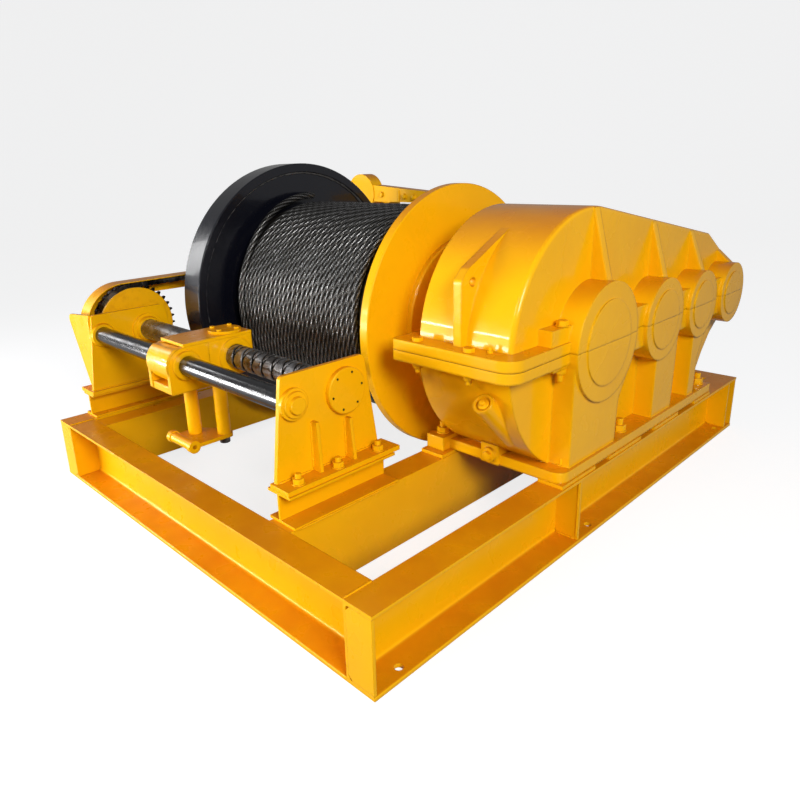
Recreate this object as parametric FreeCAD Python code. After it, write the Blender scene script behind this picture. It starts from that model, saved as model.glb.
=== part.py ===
import FreeCAD, Part
import math
import os
from FreeCAD import Vector

# Spooling rope winch on a welded channel frame, in millimetres.
# X runs along the drum from the chain side to the gearbox side, Y runs from the
# rope guide at the front to the drive at the back, Z is up. Everything is drawn
# from the frame's front left corner on the floor, and PLACE moves the origin to
# the middle of the frame's underside.

# Base frame, rolled channels
FRAME_X = 1956.0
FRAME_Y = 2446.0
BEAM_H = 250.0
BEAM_W = 104.0
BEAM_WEB = 9.0
BEAM_FLANGE = 13.0
BEAM_ROOT = 11.0
BEAM_TOE = 5.0
MID_BEAM_RIGHT = 1504.0
INNER_BEAM_RIGHT = 227.0
INNER_BEAM_H = 206.0
INNER_BEAM_W = 100.0
STIFFENER_T = 12.0
STIFFENER_INSET = 6.0
STIFFENER_MID_Y = 982.0
STIFFENER_END = 75.0
ANCHOR_HOLE_R = 13.0
ANCHOR_EDGE_X = 32.0
ANCHOR_END_Y = 118.0
ANCHOR_MID_Y = 1101.0
END_PLATE_T = 10.0

# Drum
DRUM_Y = 1119.0
DRUM_Z = 691.0
RING_LEFT = 240.0
RING_W = 125.0
RING_R = 597.0
RING_RIM_T = 26.0
RING_DISC_T = 28.0
RING_STEP = 16.0
RING_STEP_R = 560.0
FLANGE_RIGHT = 1318.0
FLANGE_T = 36.0
FLANGE_R = 507.0
FLANGE_BOSS_R = 312.0
FLANGE_BOSS_T = 22.0
BARREL_R = 365.0
BARREL_WALL = 24.0
ROPE_D = 30.0
ROPE_CREST = 62.0
ROPE_VALLEY = 49.0
ROPE_CLIMB = 81.0
ROPE_TURNS = 26
ROPE_LEFT = 400.0
SHAFT_R = 62.0
SHAFT_LEFT = -40.0
OUTPUT_SHAFT_R = 85.0
SHAFT_ENGAGE = 60.0
RUN_GAP = 0.05
CLEAR = 6.0

# Chain drive from the drum shaft to the screw
CHAIN_PITCH = 31.75
SCREW_TEETH = 36
DRUM_TEETH = 18
CHAIN_X = -30.0
TOOTH_T = 17.0
TOOTH_H = 9.0
HUB_DISC_INSET = 8.145
HUB_STEP = 12.0
HUB_DISC_T = 6.0
PLATE_GAP = 0.6
LINK_T = 4.0
LINK_H = 24.0
GUARD_R = 186.0
GUARD_FORWARD = 41.0
GUARD_T = 4.0
GUARD_LIFT = 18.5
GUARD_LEFT = -88.0
GUARD_W = 84.0
GUARD_DROP = 76.0
GUARD_FOOT_BACK = 60.0
GUARD_FOOT_DROP = 10.0
GUARD_TAB_T = 8.0

# Rope guide
ROD_Y = 204.0
ROD_Z = 604.0
ROD_R = 36.0
SCREW_Y = 408.0
SCREW_Z = 595.5
SCREW_R = 45.0
JOURNAL_R = 28.0
STAND_T = 16.0
STAND_TOP = 694.0
STAND_TOP_FRONT = 168.0
STAND_TOP_BACK = 498.0
STAND_BASE_FRONT = 128.0
STAND_BASE_BACK = 548.0
LEFT_STAND_X = 90.0
RIGHT_STAND_X = 1422.0
FOOT_TOP = 368.0
FOOT_T = 16.0
FOOT_FRONT = 118.0
FOOT_BACK = 584.0
RIGHT_FOOT_W = 68.0
RIGHT_FOOT_BACK_W = 6.0
LEFT_FOOT_W = 90.0
STAND_RIB_T = 12.0
ROD_RIB_Y = 268.0
ROD_RIB_TOP = 530.0
ROD_RIB_TOP_W = 26.0
ROD_RIB_LOW_W = 36.0
SCREW_RIB_SHIFT = 4.0
SCREW_RIB_TOP = 505.0
SCREW_RIB_TOP_W = 24.0
SCREW_RIB_LOW_W = 40.0
WING_LEFT = -158.0
WING_TOP = 694.0
WING_Y = 160.0
WING_T = 10.0
PEDESTAL_FLANGE_T = 9.0
PEDESTAL_BACK_W = 50.0
PEDESTAL_SHORT = 30.0
RIGHT_WEB_SHIFT = 14.0
RIGHT_LOW_W = 75.0
RIGHT_TOP_W = 60.0
LEFT_WEB_SHIFT = 40.0
LEFT_FRONT_W = 48.0
ROD_BOSS_R = 50.0
ROD_BOSS_T = 14.0
CAP_R = 76.0
CAP_T = 18.0

# Carriage on the rod and the screw
CARRIAGE_LEFT = 640.0
CARRIAGE_RIGHT = 804.0
CARRIAGE_TOP = 682.0
CARRIAGE_LOW = 504.0
CARRIAGE_FRONT = 136.0
CARRIAGE_BACK = 486.0
CARRIAGE_SIDE_T = 20.0
CARRIAGE_CORNER_R = 66.0
CLAMP_R = 74.0
CLAMP_GAP = 3.0
CLAMP_BACK = 300.0
CLAMP_BOSS_R = 53.0
CLAMP_BOSS_T = 14.0
FOLLOWER_R = 72.0
FOLLOWER_BOSS_T = 5.0
PLATE_T = 12.0
FOLLOWER_CAP_X = 742.0
FOLLOWER_CAP_R = 62.0
FOLLOWER_CAP_T = 11.0
POST_R = 26.0
POST_LOW = 300.0
FRONT_POST = (698.0, 262.0)
REAR_POST = (786.0, 336.0)
TIE_T = 15.0
TIE_LEFT = 656.0
TIE_RIGHT = 812.0
TIE_BACK = 366.0
GUIDE_TUBE_Y = 192.0
GUIDE_TUBE_LEFT = 645.0
GUIDE_TUBE_R = 20.0
GUIDE_COLLAR_R = 24.0
GUIDE_COLLAR_W = 22.0

# Drum bearing on the chain side
BEARING_FOOT_Z = 618.0
BEARING_FOOT_T = 28.0
BEARING_FOOT_HALF = 170.0
BEARING_LEFT = 50.0
BEARING_W = 130.0
BEARING_HALF = 104.0
BEARING_CROWN_HALF = 58.0
BEARING_DROP = 48.0
BEARING_TOE = 12.0
BEARING_CORNER_R = 30.0
SUPPORT_LEFT = 24.0
SUPPORT_W = 188.0
SUPPORT_LOW_HALF = 190.0
SUPPORT_TOP_HALF = 125.0

# Hydraulic motor and its brake
BRAKE_L = 140.0
BRAKE_COLLAR_T = 20.0
BRAKE_TAPER_T = 4.0
BRAKE_NECK = 32.0
BRAKE_BODY = 38.0
MOTOR_FLANGE_R = 104.0
MOTOR_FLANGE_T = 24.0
MOTOR_STEP = 4.0
MOTOR_BODY_R = 86.0
MOTOR_BODY_L = 190.0
MOTOR_CAP_R = 96.0
MOTOR_CAP_T = 44.0
MOTOR_CAP_STEP = 6.0
MOTOR_END_T = 8.0
MOTOR_END_CHAMFER = 16.0

# Brake lever behind the drum
LEVER_Y = 1780.0
LEVER_LOW = 1078.0
LEVER_T = 70.0
LEVER_RIGHT = 900.0
LEVER_LOBE_X = 62.0
LEVER_LOBE_Z = 1122.0
LEVER_LOBE_R = 104.0
LEVER_POST_X = 120.0
LEVER_POST_W = 90.0
LEVER_POST_RISE = 52.0
LEVER_H = 88.0
LEVER_END_H = 28.0
LEVER_SHOULDER = 110.0
LEVER_CORNER_R = 8.0
LEVER_LOBE_PROUD = 6.0

# Gearbox
GEAR_LEFT = 1497.0
GEAR_RIGHT = 1860.0
GEAR_R = 436.0
GEAR_LOW_R = 442.0
SHELL_BACK = 2396.0
SHELL_EDGE_R = 14.0
RIDGE_SLOPE = 0.1737
RIDGE_TAIL = 246.0
REAR_SLOPE = 0.53
SPLIT_LEFT = 1440.0
SPLIT_RIGHT = 1918.0
SPLIT_T = 36.0
SPLIT_CORNER = 60.0
SPLIT_LIP_FRONT = 71.0
SPLIT_LIP_BACK = 12.0
GEAR_BASE_LEFT = 1412.0
GEAR_BASE_RIGHT = 1948.0
GEAR_BASE_FRONT = 860.0
GEAR_BASE_BACK = 2118.0
GEAR_BASE_T = 38.0
PAD_T = 13.0
PAD_BACK_INSET = 6.0
PAD_TOE_INSET = 4.0
LEFT_PAD_INSET = 2.0
RIGHT_PAD_STEPS = (0.0, 316.0, 683.0, 1079.0)
RIGHT_PAD_LENGTHS = (216.0, 250.0, 225.0, 173.0)
LEFT_PAD_STEPS = (-70.0, 440.0, 1000.0)
LEFT_PAD_LENGTHS = (250.0, 220.0, 240.0)
BOSS_RIGHT = 1947.0
BELL_R = 150.0
SECOND_SHAFT_STEP = 439.0
THIRD_SHAFT_STEP = 803.0
REAR_SHAFT_INSET = 141.0
BOSS_R = (203.0, 156.0, 138.0, 132.0)
COVER_SHARE = 0.72
COVER_T = 4.0
PEDESTAL_FACE = 1937.0
RIB_T = 32.0
RIB_FOOT = 1924.0
BOLT_PAD_FACE = 1930.0
BOLT_PAD_TOP = 770.0
BOLT_PAD_LOW = 612.0
BOLT_PAD_FRONT = 822.0
LUG_LEFT = 1660.0
LUG_T = 32.0
LUG_HOLE_R = 14.0
GAUGE_X = 1780.0
GAUGE_R = 34.0

RIDGE_END = SHELL_BACK - RIDGE_TAIL
SHAFT_Y = (DRUM_Y, DRUM_Y + SECOND_SHAFT_STEP, DRUM_Y + THIRD_SHAFT_STEP,
           SHELL_BACK - REAR_SHAFT_INSET)
PLACE = Vector(-FRAME_X / 2, -FRAME_Y / 2, 0)
X_AXIS = Vector(1, 0, 0)
Y_AXIS = Vector(0, 1, 0)
Z_AXIS = Vector(0, 0, 1)


def save(name, *shapes):
    """Write one node, made of one or more solids, in the frame-centre origin."""
    moved = []
    for shape in shapes:
        copy = shape.copy()
        copy.translate(PLACE)
        moved.extend(copy.Solids)
    whole = moved[0] if len(moved) == 1 else Part.makeCompound(moved)
    whole.exportStep("parts/" + name + ".step")


def box(x0, x1, y0, y1, z0, z1):
    return Part.makeBox(x1 - x0, y1 - y0, z1 - z0, Vector(x0, y0, z0))


def rod_x(x0, x1, y, z, radius):
    return Part.makeCylinder(radius, x1 - x0, Vector(x0, y, z), X_AXIS)


def rod_y(x, y0, y1, z, radius):
    return Part.makeCylinder(radius, y1 - y0, Vector(x, y0, z), Y_AXIS)


def rod_z(x, y, z0, z1, radius):
    return Part.makeCylinder(radius, z1 - z0, Vector(x, y, z0), Z_AXIS)


def outline(points, radii):
    """Closed wire through the points, each corner rounded by its own radius."""
    count = len(points)
    starts = []
    ends = []
    mids = []
    for i in range(count):
        corner = points[i]
        to_last = (points[i - 1] - corner).normalize()
        to_next = (points[(i + 1) % count] - corner).normalize()
        radius = radii[i]
        if radius <= 0:
            starts.append(corner)
            ends.append(corner)
            mids.append(None)
            continue
        half = to_last.getAngle(to_next) / 2
        reach = radius / math.tan(half)
        middle = (to_last + to_next).normalize()
        centre = corner + middle * (radius / math.sin(half))
        starts.append(corner + to_last * reach)
        ends.append(corner + to_next * reach)
        mids.append(centre - middle * radius)
    edges = []
    for i in range(count):
        if mids[i] is not None:
            edges.append(Part.Arc(starts[i], mids[i], ends[i]).toShape())
        after = starts[(i + 1) % count]
        if ends[i].distanceToPoint(after) > 1e-6:
            edges.append(Part.LineSegment(ends[i], after).toShape())
    return Part.Wire(edges)


def prism_x(points, x0, x1, radii=None):
    """Solid from an outline of (y, z) points between two X planes."""
    corners = [Vector(x0, y, z) for y, z in points]
    wire = outline(corners, radii or [0] * len(corners))
    return Part.Face(wire).extrude(Vector(x1 - x0, 0, 0))


def prism_y(points, y0, y1, radii=None):
    """Solid from an outline of (x, z) points between two Y planes."""
    corners = [Vector(x, y0, z) for x, z in points]
    wire = outline(corners, radii or [0] * len(corners))
    return Part.Face(wire).extrude(Vector(0, y1 - y0, 0))


def prism_z(points, z0, z1, radii=None):
    """Solid from an outline of (x, y) points between two heights."""
    corners = [Vector(x, y, z0) for x, y in points]
    wire = outline(corners, radii or [0] * len(corners))
    return Part.Face(wire).extrude(Vector(0, 0, z1 - z0))


def turned_x(points, y, z):
    """Solid of revolution about an X axis line from (x, radius) points."""
    corners = [Vector(x, y, z + r) for x, r in points]
    corners.append(corners[0])
    face = Part.Face(Part.makePolygon(corners))
    return face.revolve(Vector(0, y, z), X_AXIS, 360)


def channel_section(height, width, web, flange):
    """Points and radii of a channel with its back at 0 and its flanges outward."""
    points = [(0, 0), (width, 0), (width, flange), (web, flange)]
    points += [(web, height - flange), (width, height - flange), (width, height), (0, height)]
    radii = [0, 0, BEAM_TOE, BEAM_ROOT, BEAM_ROOT, BEAM_TOE, 0, 0]
    return points, radii


def channel_y(back_x, side, y0, y1, z0, height, width):
    """Channel along Y: the back stands at back_x and the flanges point to side."""
    points, radii = channel_section(height, width, BEAM_WEB, BEAM_FLANGE)
    placed = [(back_x + side * u, z0 + v) for u, v in points]
    return prism_y(placed, y0, y1, radii)


def channel_x(back_y, side, x0, x1, height, width):
    """Channel along X on the floor: flanges point to side."""
    points, radii = channel_section(height, width, BEAM_WEB, BEAM_FLANGE)
    placed = [(back_y + side * u, v) for u, v in points]
    return prism_x(placed, x0, x1, radii)


# Base frame
def stiffener(back_x, side, y):
    """Plate between the two flanges of a side channel."""
    web_face = back_x + side * BEAM_WEB
    toe = back_x + side * (BEAM_W - STIFFENER_INSET)
    low = BEAM_FLANGE
    high = BEAM_H - BEAM_FLANGE
    cut = BEAM_ROOT
    points = [(web_face, low + cut), (web_face + side * cut, low), (toe, low)]
    points += [(toe, high), (web_face + side * cut, high), (web_face, high - cut)]
    return prism_y(points, y, y + STIFFENER_T)


def anchor_points(side_x):
    """Places of the three anchor holes along one side channel."""
    return [(side_x, y) for y in (ANCHOR_END_Y, ANCHOR_MID_Y, FRAME_Y - ANCHOR_END_Y)]


def side_channel(back_x, side, hole_x):
    beam = channel_y(back_x, side, 0, FRAME_Y, 0, BEAM_H, BEAM_W)
    for x, y in anchor_points(hole_x):
        beam = beam.cut(rod_z(x, y, -1, BEAM_FLANGE + 1, ANCHOR_HOLE_R))
    for y in (STIFFENER_MID_Y, FRAME_Y - STIFFENER_END):
        beam = beam.fuse(stiffener(back_x, side, y))
    return beam.removeSplitter()


def end_plate(back_x, side, y):
    """Plate that closes the open end of a side channel, with a gap at its top."""
    inner = back_x + side * BEAM_WEB
    toe = back_x + side * (BEAM_W - 2)
    low = BEAM_FLANGE
    high = BEAM_H - BEAM_FLANGE
    cut = BEAM_ROOT + 3
    points = [(inner + side * cut, low), (toe, low), (toe, high)]
    points += [(inner + side * cut, high), (inner, high - cut), (inner, low + cut)]
    return prism_y(points, y, y + END_PLATE_T)


def make_frame():
    right_back = FRAME_X - BEAM_W
    save("left_channel", side_channel(BEAM_W, -1, ANCHOR_EDGE_X))
    save("right_channel", side_channel(right_back, 1, FRAME_X - ANCHOR_EDGE_X))
    save("front_channel", channel_x(BEAM_W, -1, BEAM_W, right_back, BEAM_H, BEAM_W))
    save("rear_channel", channel_x(FRAME_Y - BEAM_W, 1, BEAM_W, right_back, BEAM_H, BEAM_W))
    middle = channel_y(MID_BEAM_RIGHT, -1, BEAM_W, FRAME_Y - BEAM_W, 0, BEAM_H, BEAM_W)
    save("middle_channel", middle)
    inner_low = BEAM_H - INNER_BEAM_H
    inner = channel_y(INNER_BEAM_RIGHT, -1, BEAM_W, FRAME_Y - BEAM_W, inner_low,
                      INNER_BEAM_H, INNER_BEAM_W)
    save("left_inner_channel", inner)
    far = FRAME_Y - END_PLATE_T
    save("end_plates",
         end_plate(right_back, 1, 0), end_plate(right_back, 1, far),
         end_plate(BEAM_W, -1, 0), end_plate(BEAM_W, -1, far))


# Drum
def make_drum():
    ring_right = RING_LEFT + RING_W
    disc_right = ring_right - RING_STEP
    disc_left = disc_right - RING_DISC_T
    flange_left = FLANGE_RIGHT - FLANGE_T
    inner_r = BARREL_R - BARREL_WALL
    barrel = [(disc_right, inner_r), (flange_left, inner_r), (flange_left, BARREL_R),
              (disc_right, BARREL_R)]
    save("drum_barrel", turned_x(barrel, DRUM_Y, DRUM_Z))
    rim_in = RING_R - RING_RIM_T
    ring = [(disc_left, SHAFT_R), (disc_right, SHAFT_R), (disc_right, RING_STEP_R),
            (ring_right, RING_STEP_R), (ring_right, RING_R - 4), (ring_right - 4, RING_R),
            (RING_LEFT + 4, RING_R), (RING_LEFT, RING_R - 4), (RING_LEFT, rim_in),
            (disc_left, rim_in)]
    save("brake_ring_flange", turned_x(ring, DRUM_Y, DRUM_Z))
    boss_right = FLANGE_RIGHT + FLANGE_BOSS_T
    flange = [(flange_left, OUTPUT_SHAFT_R), (boss_right, OUTPUT_SHAFT_R),
              (boss_right, FLANGE_BOSS_R - 5), (boss_right - 5, FLANGE_BOSS_R),
              (FLANGE_RIGHT, FLANGE_BOSS_R), (FLANGE_RIGHT, FLANGE_R - 3),
              (FLANGE_RIGHT - 3, FLANGE_R), (flange_left, FLANGE_R)]
    save("gear_side_flange", turned_x(flange, DRUM_Y, DRUM_Z))
    climb = ROPE_LEFT - ROPE_D
    end = ROPE_LEFT + ROPE_TURNS * ROPE_D
    valley_r = BARREL_R + ROPE_VALLEY
    climb_r = BARREL_R + ROPE_CLIMB
    rope = [(climb, BARREL_R), (climb, climb_r - ROPE_D / 2), (climb + ROPE_D / 2, climb_r),
            (ROPE_LEFT, valley_r)]
    for turn in range(ROPE_TURNS):
        rope.append((ROPE_LEFT + (turn + 0.5) * ROPE_D, BARREL_R + ROPE_CREST))
        rope.append((ROPE_LEFT + (turn + 1) * ROPE_D, valley_r))
    rope.append((end, BARREL_R))
    save("rope_winding", turned_x(rope, DRUM_Y, DRUM_Z))
    save("drum_shaft", rod_x(SHAFT_LEFT, disc_right, DRUM_Y, DRUM_Z, SHAFT_R))
    save("output_shaft", rod_x(flange_left, GEAR_LEFT + SHAFT_ENGAGE, DRUM_Y, DRUM_Z, OUTPUT_SHAFT_R))


# Chain drive
def pitch_radius(teeth):
    return CHAIN_PITCH / (2 * math.sin(math.pi / teeth))


def sprocket(teeth, x_mid, y, z, bore):
    """Toothed wheel about an X axis with plain pointed teeth and a hub."""
    root = pitch_radius(teeth) - TOOTH_H
    tip = pitch_radius(teeth) + TOOTH_H
    step = 2 * math.pi / teeth
    points = []
    for k in range(teeth):
        for share, radius in ((0.0, root), (0.22, root), (0.42, tip), (0.58, tip), (0.78, root)):
            angle = (k + share) * step
            points.append((y + radius * math.cos(angle), z + radius * math.sin(angle)))
    wheel = prism_x(points, x_mid - TOOTH_T / 2, x_mid + TOOTH_T / 2)
    return wheel.cut(rod_x(x_mid - TOOTH_T, x_mid + TOOTH_T, y, z, bore))


def tangent_loop(radius_a, radius_b):
    """Ends of the two straight runs around the screw and the drum sprockets."""
    dy = DRUM_Y - SCREW_Y
    dz = DRUM_Z - SCREW_Z
    span = math.hypot(dy, dz)
    tilt = math.atan2(dz, dy)
    lean = math.acos((radius_a - radius_b) / span)
    ends = []
    for side in (1, -1):
        angle = tilt + side * lean
        way = (math.cos(angle), math.sin(angle))
        ends.append((Vector(0, SCREW_Y + radius_a * way[0], SCREW_Z + radius_a * way[1]),
                     Vector(0, DRUM_Y + radius_b * way[0], DRUM_Z + radius_b * way[1])))
    return ends, tilt


def loop_face(offset, x):
    """Face bounded by the chain's path moved outward by an offset."""
    radius_a = pitch_radius(SCREW_TEETH) + offset
    radius_b = pitch_radius(DRUM_TEETH) + offset
    (top_a, top_b), (low_a, low_b) = tangent_loop(radius_a, radius_b)[0]
    tilt = tangent_loop(radius_a, radius_b)[1]
    front = Vector(0, SCREW_Y - radius_a * math.cos(tilt), SCREW_Z - radius_a * math.sin(tilt))
    back = Vector(0, DRUM_Y + radius_b * math.cos(tilt), DRUM_Z + radius_b * math.sin(tilt))
    edges = [Part.Arc(low_a, front, top_a).toShape(), Part.LineSegment(top_a, top_b).toShape(),
             Part.Arc(top_b, back, low_b).toShape(), Part.LineSegment(low_b, low_a).toShape()]
    wire = Part.Wire(edges)
    wire.translate(Vector(x, 0, 0))
    return Part.Face(wire)


def chain_band(x0, x1, inner, outer):
    band = loop_face(outer, x0).extrude(Vector(x1 - x0, 0, 0))
    return band.cut(loop_face(inner, x0 - 1).extrude(Vector(x1 - x0 + 2, 0, 0)))


def roller(x0, x1, at):
    """Eight sided stand-in for one pin and roller across the chain."""
    points = []
    for k in range(8):
        angle = (k + 0.5) * math.pi / 4
        points.append((at.y + 8 * math.cos(angle), at.z + 8 * math.sin(angle)))
    return prism_x(points, x0, x1)


def make_chain():
    half_gap = TOOTH_T / 2 + PLATE_GAP
    left = chain_band(CHAIN_X - half_gap - LINK_T, CHAIN_X - half_gap, -LINK_H / 2, LINK_H / 2)
    right = chain_band(CHAIN_X + half_gap, CHAIN_X + half_gap + LINK_T, -LINK_H / 2, LINK_H / 2)
    chain = left.fuse(right)
    runs = tangent_loop(pitch_radius(SCREW_TEETH), pitch_radius(DRUM_TEETH))[0]
    for start, end in runs:
        length = start.distanceToPoint(end)
        way = (end - start).normalize()
        count = int((length - 6 * CHAIN_PITCH) // CHAIN_PITCH)
        lead = (length - (count - 1) * CHAIN_PITCH) / 2
        for k in range(count):
            at = start + way * (lead + k * CHAIN_PITCH)
            chain = chain.fuse(roller(CHAIN_X - half_gap - 1, CHAIN_X + half_gap + 1, at))
    save("drive_chain", chain)
    wheel = sprocket(SCREW_TEETH, CHAIN_X, SCREW_Y, SCREW_Z, JOURNAL_R)
    disc_left = CHAIN_X + half_gap + LINK_T + 1.5
    disc_r = pitch_radius(SCREW_TEETH) - HUB_DISC_INSET
    spigot = turned_x([(CHAIN_X, JOURNAL_R), (disc_left, JOURNAL_R), (disc_left + HUB_DISC_T, JOURNAL_R),
                       (disc_left + HUB_DISC_T, disc_r - 2), (disc_left + HUB_DISC_T - 2, disc_r),
                       (disc_left, disc_r), (disc_left, disc_r - HUB_STEP), (CHAIN_X, disc_r - HUB_STEP)],
                      SCREW_Y, SCREW_Z)
    save("screw_sprocket", wheel.fuse(spigot).removeSplitter())
    save("drum_sprocket", sprocket(DRUM_TEETH, CHAIN_X, DRUM_Y, DRUM_Z, SHAFT_R))


def guard_path(inset):
    """Front foot, round nose and upper run of the guard, moved inward by an inset."""
    run_a, run_b = tangent_loop(pitch_radius(SCREW_TEETH), pitch_radius(DRUM_TEETH))[0][0]
    way = (run_b - run_a).normalize()
    normal = Vector(0, -way.z, way.y)
    run_a = run_a + normal * (GUARD_LIFT - inset)
    centre = run_a - way * GUARD_FORWARD - normal * (GUARD_R - inset)
    top = centre + normal * (GUARD_R - inset)
    side = centre + Vector(0, -GUARD_R + inset, 0)
    angle = math.radians(135)
    nose = centre + Vector(0, math.cos(angle), math.sin(angle)) * (GUARD_R - inset)
    foot = Vector(0, side.y, SCREW_Z - GUARD_FOOT_DROP)
    end = run_b + normal * (GUARD_LIFT - inset)
    return foot, side, nose, top, end


def make_guard():
    """Back plate and rolled rim over the front sprocket and the upper chain run."""
    foot, side, nose, top, end = guard_path(0)
    foot_in, side_in, nose_in, top_in, end_in = guard_path(GUARD_T)
    edges = [Part.LineSegment(foot, side).toShape(), Part.Arc(side, nose, top).toShape(),
             Part.LineSegment(top, end).toShape(), Part.LineSegment(end, end_in).toShape(),
             Part.LineSegment(end_in, top_in).toShape(), Part.Arc(top_in, nose_in, side_in).toShape(),
             Part.LineSegment(side_in, foot_in).toShape(), Part.LineSegment(foot_in, foot).toShape()]
    wire = Part.Wire(edges)
    wire.translate(Vector(GUARD_LEFT, 0, 0))
    rim = Part.Face(wire).extrude(Vector(GUARD_W, 0, 0))
    foot_back = SCREW_Y + GUARD_FOOT_BACK
    corners = [end, end + Vector(0, 0, -GUARD_DROP), Vector(0, foot_back, end.z - GUARD_DROP),
               Vector(0, foot_back, foot.z), foot]
    edges = [Part.LineSegment(foot, side).toShape(), Part.Arc(side, nose, top).toShape(),
             Part.LineSegment(top, end).toShape()]
    for one, two in zip(corners, corners[1:]):
        edges.append(Part.LineSegment(one, two).toShape())
    wire = Part.Wire(edges)
    wire.translate(Vector(GUARD_LEFT, 0, 0))
    back = Part.Face(wire).extrude(Vector(GUARD_T, 0, 0))
    tab = box(GUARD_LEFT, GUARD_LEFT + GUARD_W, WING_Y + WING_T, side_in.y, foot.z, foot.z + GUARD_TAB_T)
    save("chain_guard", rim.fuse(back).fuse(tab).removeSplitter())


# Rope guide
def stand_outline():
    return [(STAND_BASE_FRONT, FOOT_TOP), (STAND_BASE_BACK, FOOT_TOP),
            (STAND_TOP_BACK, STAND_TOP), (STAND_TOP_FRONT, STAND_TOP)]


def stand_plate(x0, screw_hole):
    plate = prism_x(stand_outline(), x0, x0 + STAND_T, [0, 0, 22, 14])
    plate = plate.cut(rod_x(x0 - 1, x0 + STAND_T + 1, ROD_Y, ROD_Z, ROD_R))
    return plate.cut(rod_x(x0 - 1, x0 + STAND_T + 1, SCREW_Y, SCREW_Z, screw_hole))


def pedestal(web_x, side, width, top_width):
    """Short I beam under a stand, its bottom flange on the girder below."""
    top = FOOT_TOP - FOOT_T
    under = top - PEDESTAL_FLANGE_T
    over = BEAM_H + PEDESTAL_FLANGE_T
    web = side * BEAM_WEB / 2
    back = web_x - side * PEDESTAL_BACK_W
    points = [(back, BEAM_H), (web_x + side * width, BEAM_H), (web_x + side * width, over),
              (web_x + web, over), (web_x + web, under), (web_x + side * top_width, under),
              (web_x + side * top_width, top), (back, top), (back, under), (web_x - web, under),
              (web_x - web, over), (back, over)]
    return prism_y(points, FOOT_FRONT, FOOT_BACK - PEDESTAL_SHORT)


def rib(x_face, side, y, z_top, deep_top, deep_low):
    """Tapered upright rib on a stand plate, on its foot plate."""
    points = [(x_face, FOOT_TOP), (x_face + side * deep_low, FOOT_TOP),
              (x_face + side * deep_top, z_top), (x_face, z_top)]
    return prism_y(points, y, y + STAND_RIB_T)


def screw_rib(x_face, side):
    return rib(x_face, side, SCREW_Y - SCREW_RIB_SHIFT, SCREW_RIB_TOP, SCREW_RIB_TOP_W, SCREW_RIB_LOW_W)


def make_stands():
    right_x0 = RIGHT_STAND_X - STAND_T
    left_x0 = LEFT_STAND_X - STAND_T
    plate = stand_plate(right_x0, SCREW_R + RUN_GAP)
    foot = box(right_x0 - RIGHT_FOOT_BACK_W, RIGHT_STAND_X + RIGHT_FOOT_W, FOOT_FRONT, FOOT_BACK,
               FOOT_TOP - FOOT_T, FOOT_TOP)
    right = plate.fuse(foot)
    right = right.fuse(rib(RIGHT_STAND_X, 1, ROD_RIB_Y, ROD_RIB_TOP, ROD_RIB_TOP_W, ROD_RIB_LOW_W))
    right = right.fuse(screw_rib(RIGHT_STAND_X, 1))
    save("right_stand", right.removeSplitter())
    save("right_pedestal", pedestal(RIGHT_STAND_X + RIGHT_WEB_SHIFT, 1, RIGHT_LOW_W, RIGHT_TOP_W))
    plate = stand_plate(left_x0, SCREW_R + RUN_GAP)
    foot = box(left_x0 - LEFT_FOOT_W, LEFT_STAND_X + STAND_T, FOOT_FRONT, FOOT_BACK,
               FOOT_TOP - FOOT_T, FOOT_TOP)
    wing = [(left_x0 + 1, FOOT_TOP), (left_x0 - LEFT_FOOT_W + 2, FOOT_TOP), (WING_LEFT, WING_TOP - 22),
            (left_x0 + 1, WING_TOP)]
    wing_plate = prism_y(wing, WING_Y, WING_Y + WING_T, [0, 0, 26, 0])
    left = plate.fuse(foot).fuse(screw_rib(left_x0, -1))
    left = left.fuse(wing_plate)
    save("left_stand", left.removeSplitter())
    save("left_pedestal", pedestal(LEFT_STAND_X - LEFT_WEB_SHIFT, -1, LEFT_FRONT_W, LEFT_FRONT_W))
    save("guide_rod", rod_x(left_x0 + 1, RIGHT_STAND_X + 10, ROD_Y, ROD_Z, ROD_R))


def make_bearings():
    right = RIGHT_STAND_X
    cup = turned_x([(right, CAP_R), (right, SCREW_R + 2), (right + CAP_T - 8, SCREW_R + 2),
                    (right + CAP_T - 8, 0.01), (right + CAP_T, 0.01), (right + CAP_T, CAP_R - 3),
                    (right + CAP_T - 3, CAP_R)], SCREW_Y, SCREW_Z)
    save("screw_bearing_cap", cup)
    end = turned_x([(right, ROD_BOSS_R), (right, ROD_R + 1), (right + 12, ROD_R + 1),
                    (right + 12, 0.01), (right + 34, 0.01), (right + 34, 26), (right + 22, 28),
                    (right + 22, 40), (right + ROD_BOSS_T, 42), (right + ROD_BOSS_T, ROD_BOSS_R)],
                   ROD_Y, ROD_Z)
    save("rod_end_cap", end)
    left = LEFT_STAND_X
    inner = turned_x([(left, 70), (left, SCREW_R + 0.05), (left + 24, SCREW_R + 0.05),
                      (left + 24, 52), (left + 8, 58), (left + 8, 70)], SCREW_Y, SCREW_Z)
    save("screw_bearing_left", inner)
    collar = turned_x([(left, 52), (left, ROD_R), (left + 12, ROD_R), (left + 12, 47)],
                      ROD_Y, ROD_Z)
    save("rod_collar_left", collar)


def screw_profile():
    """Stepped shaft: a journal through the sprocket, then the full screw."""
    start = CHAIN_X - TOOTH_T / 2 - 14
    step = LEFT_STAND_X - STAND_T - 16
    end = RIGHT_STAND_X + CAP_T - 8 - 0.3
    return [(start, 0.01), (end, 0.01), (end, SCREW_R), (step, SCREW_R), (step, JOURNAL_R),
            (start, JOURNAL_R)]


def make_screw():
    """Reversing lead screw with a left and a right hand groove that cross."""
    save("lead_screw", turned_x(screw_profile(), SCREW_Y, SCREW_Z))


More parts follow.
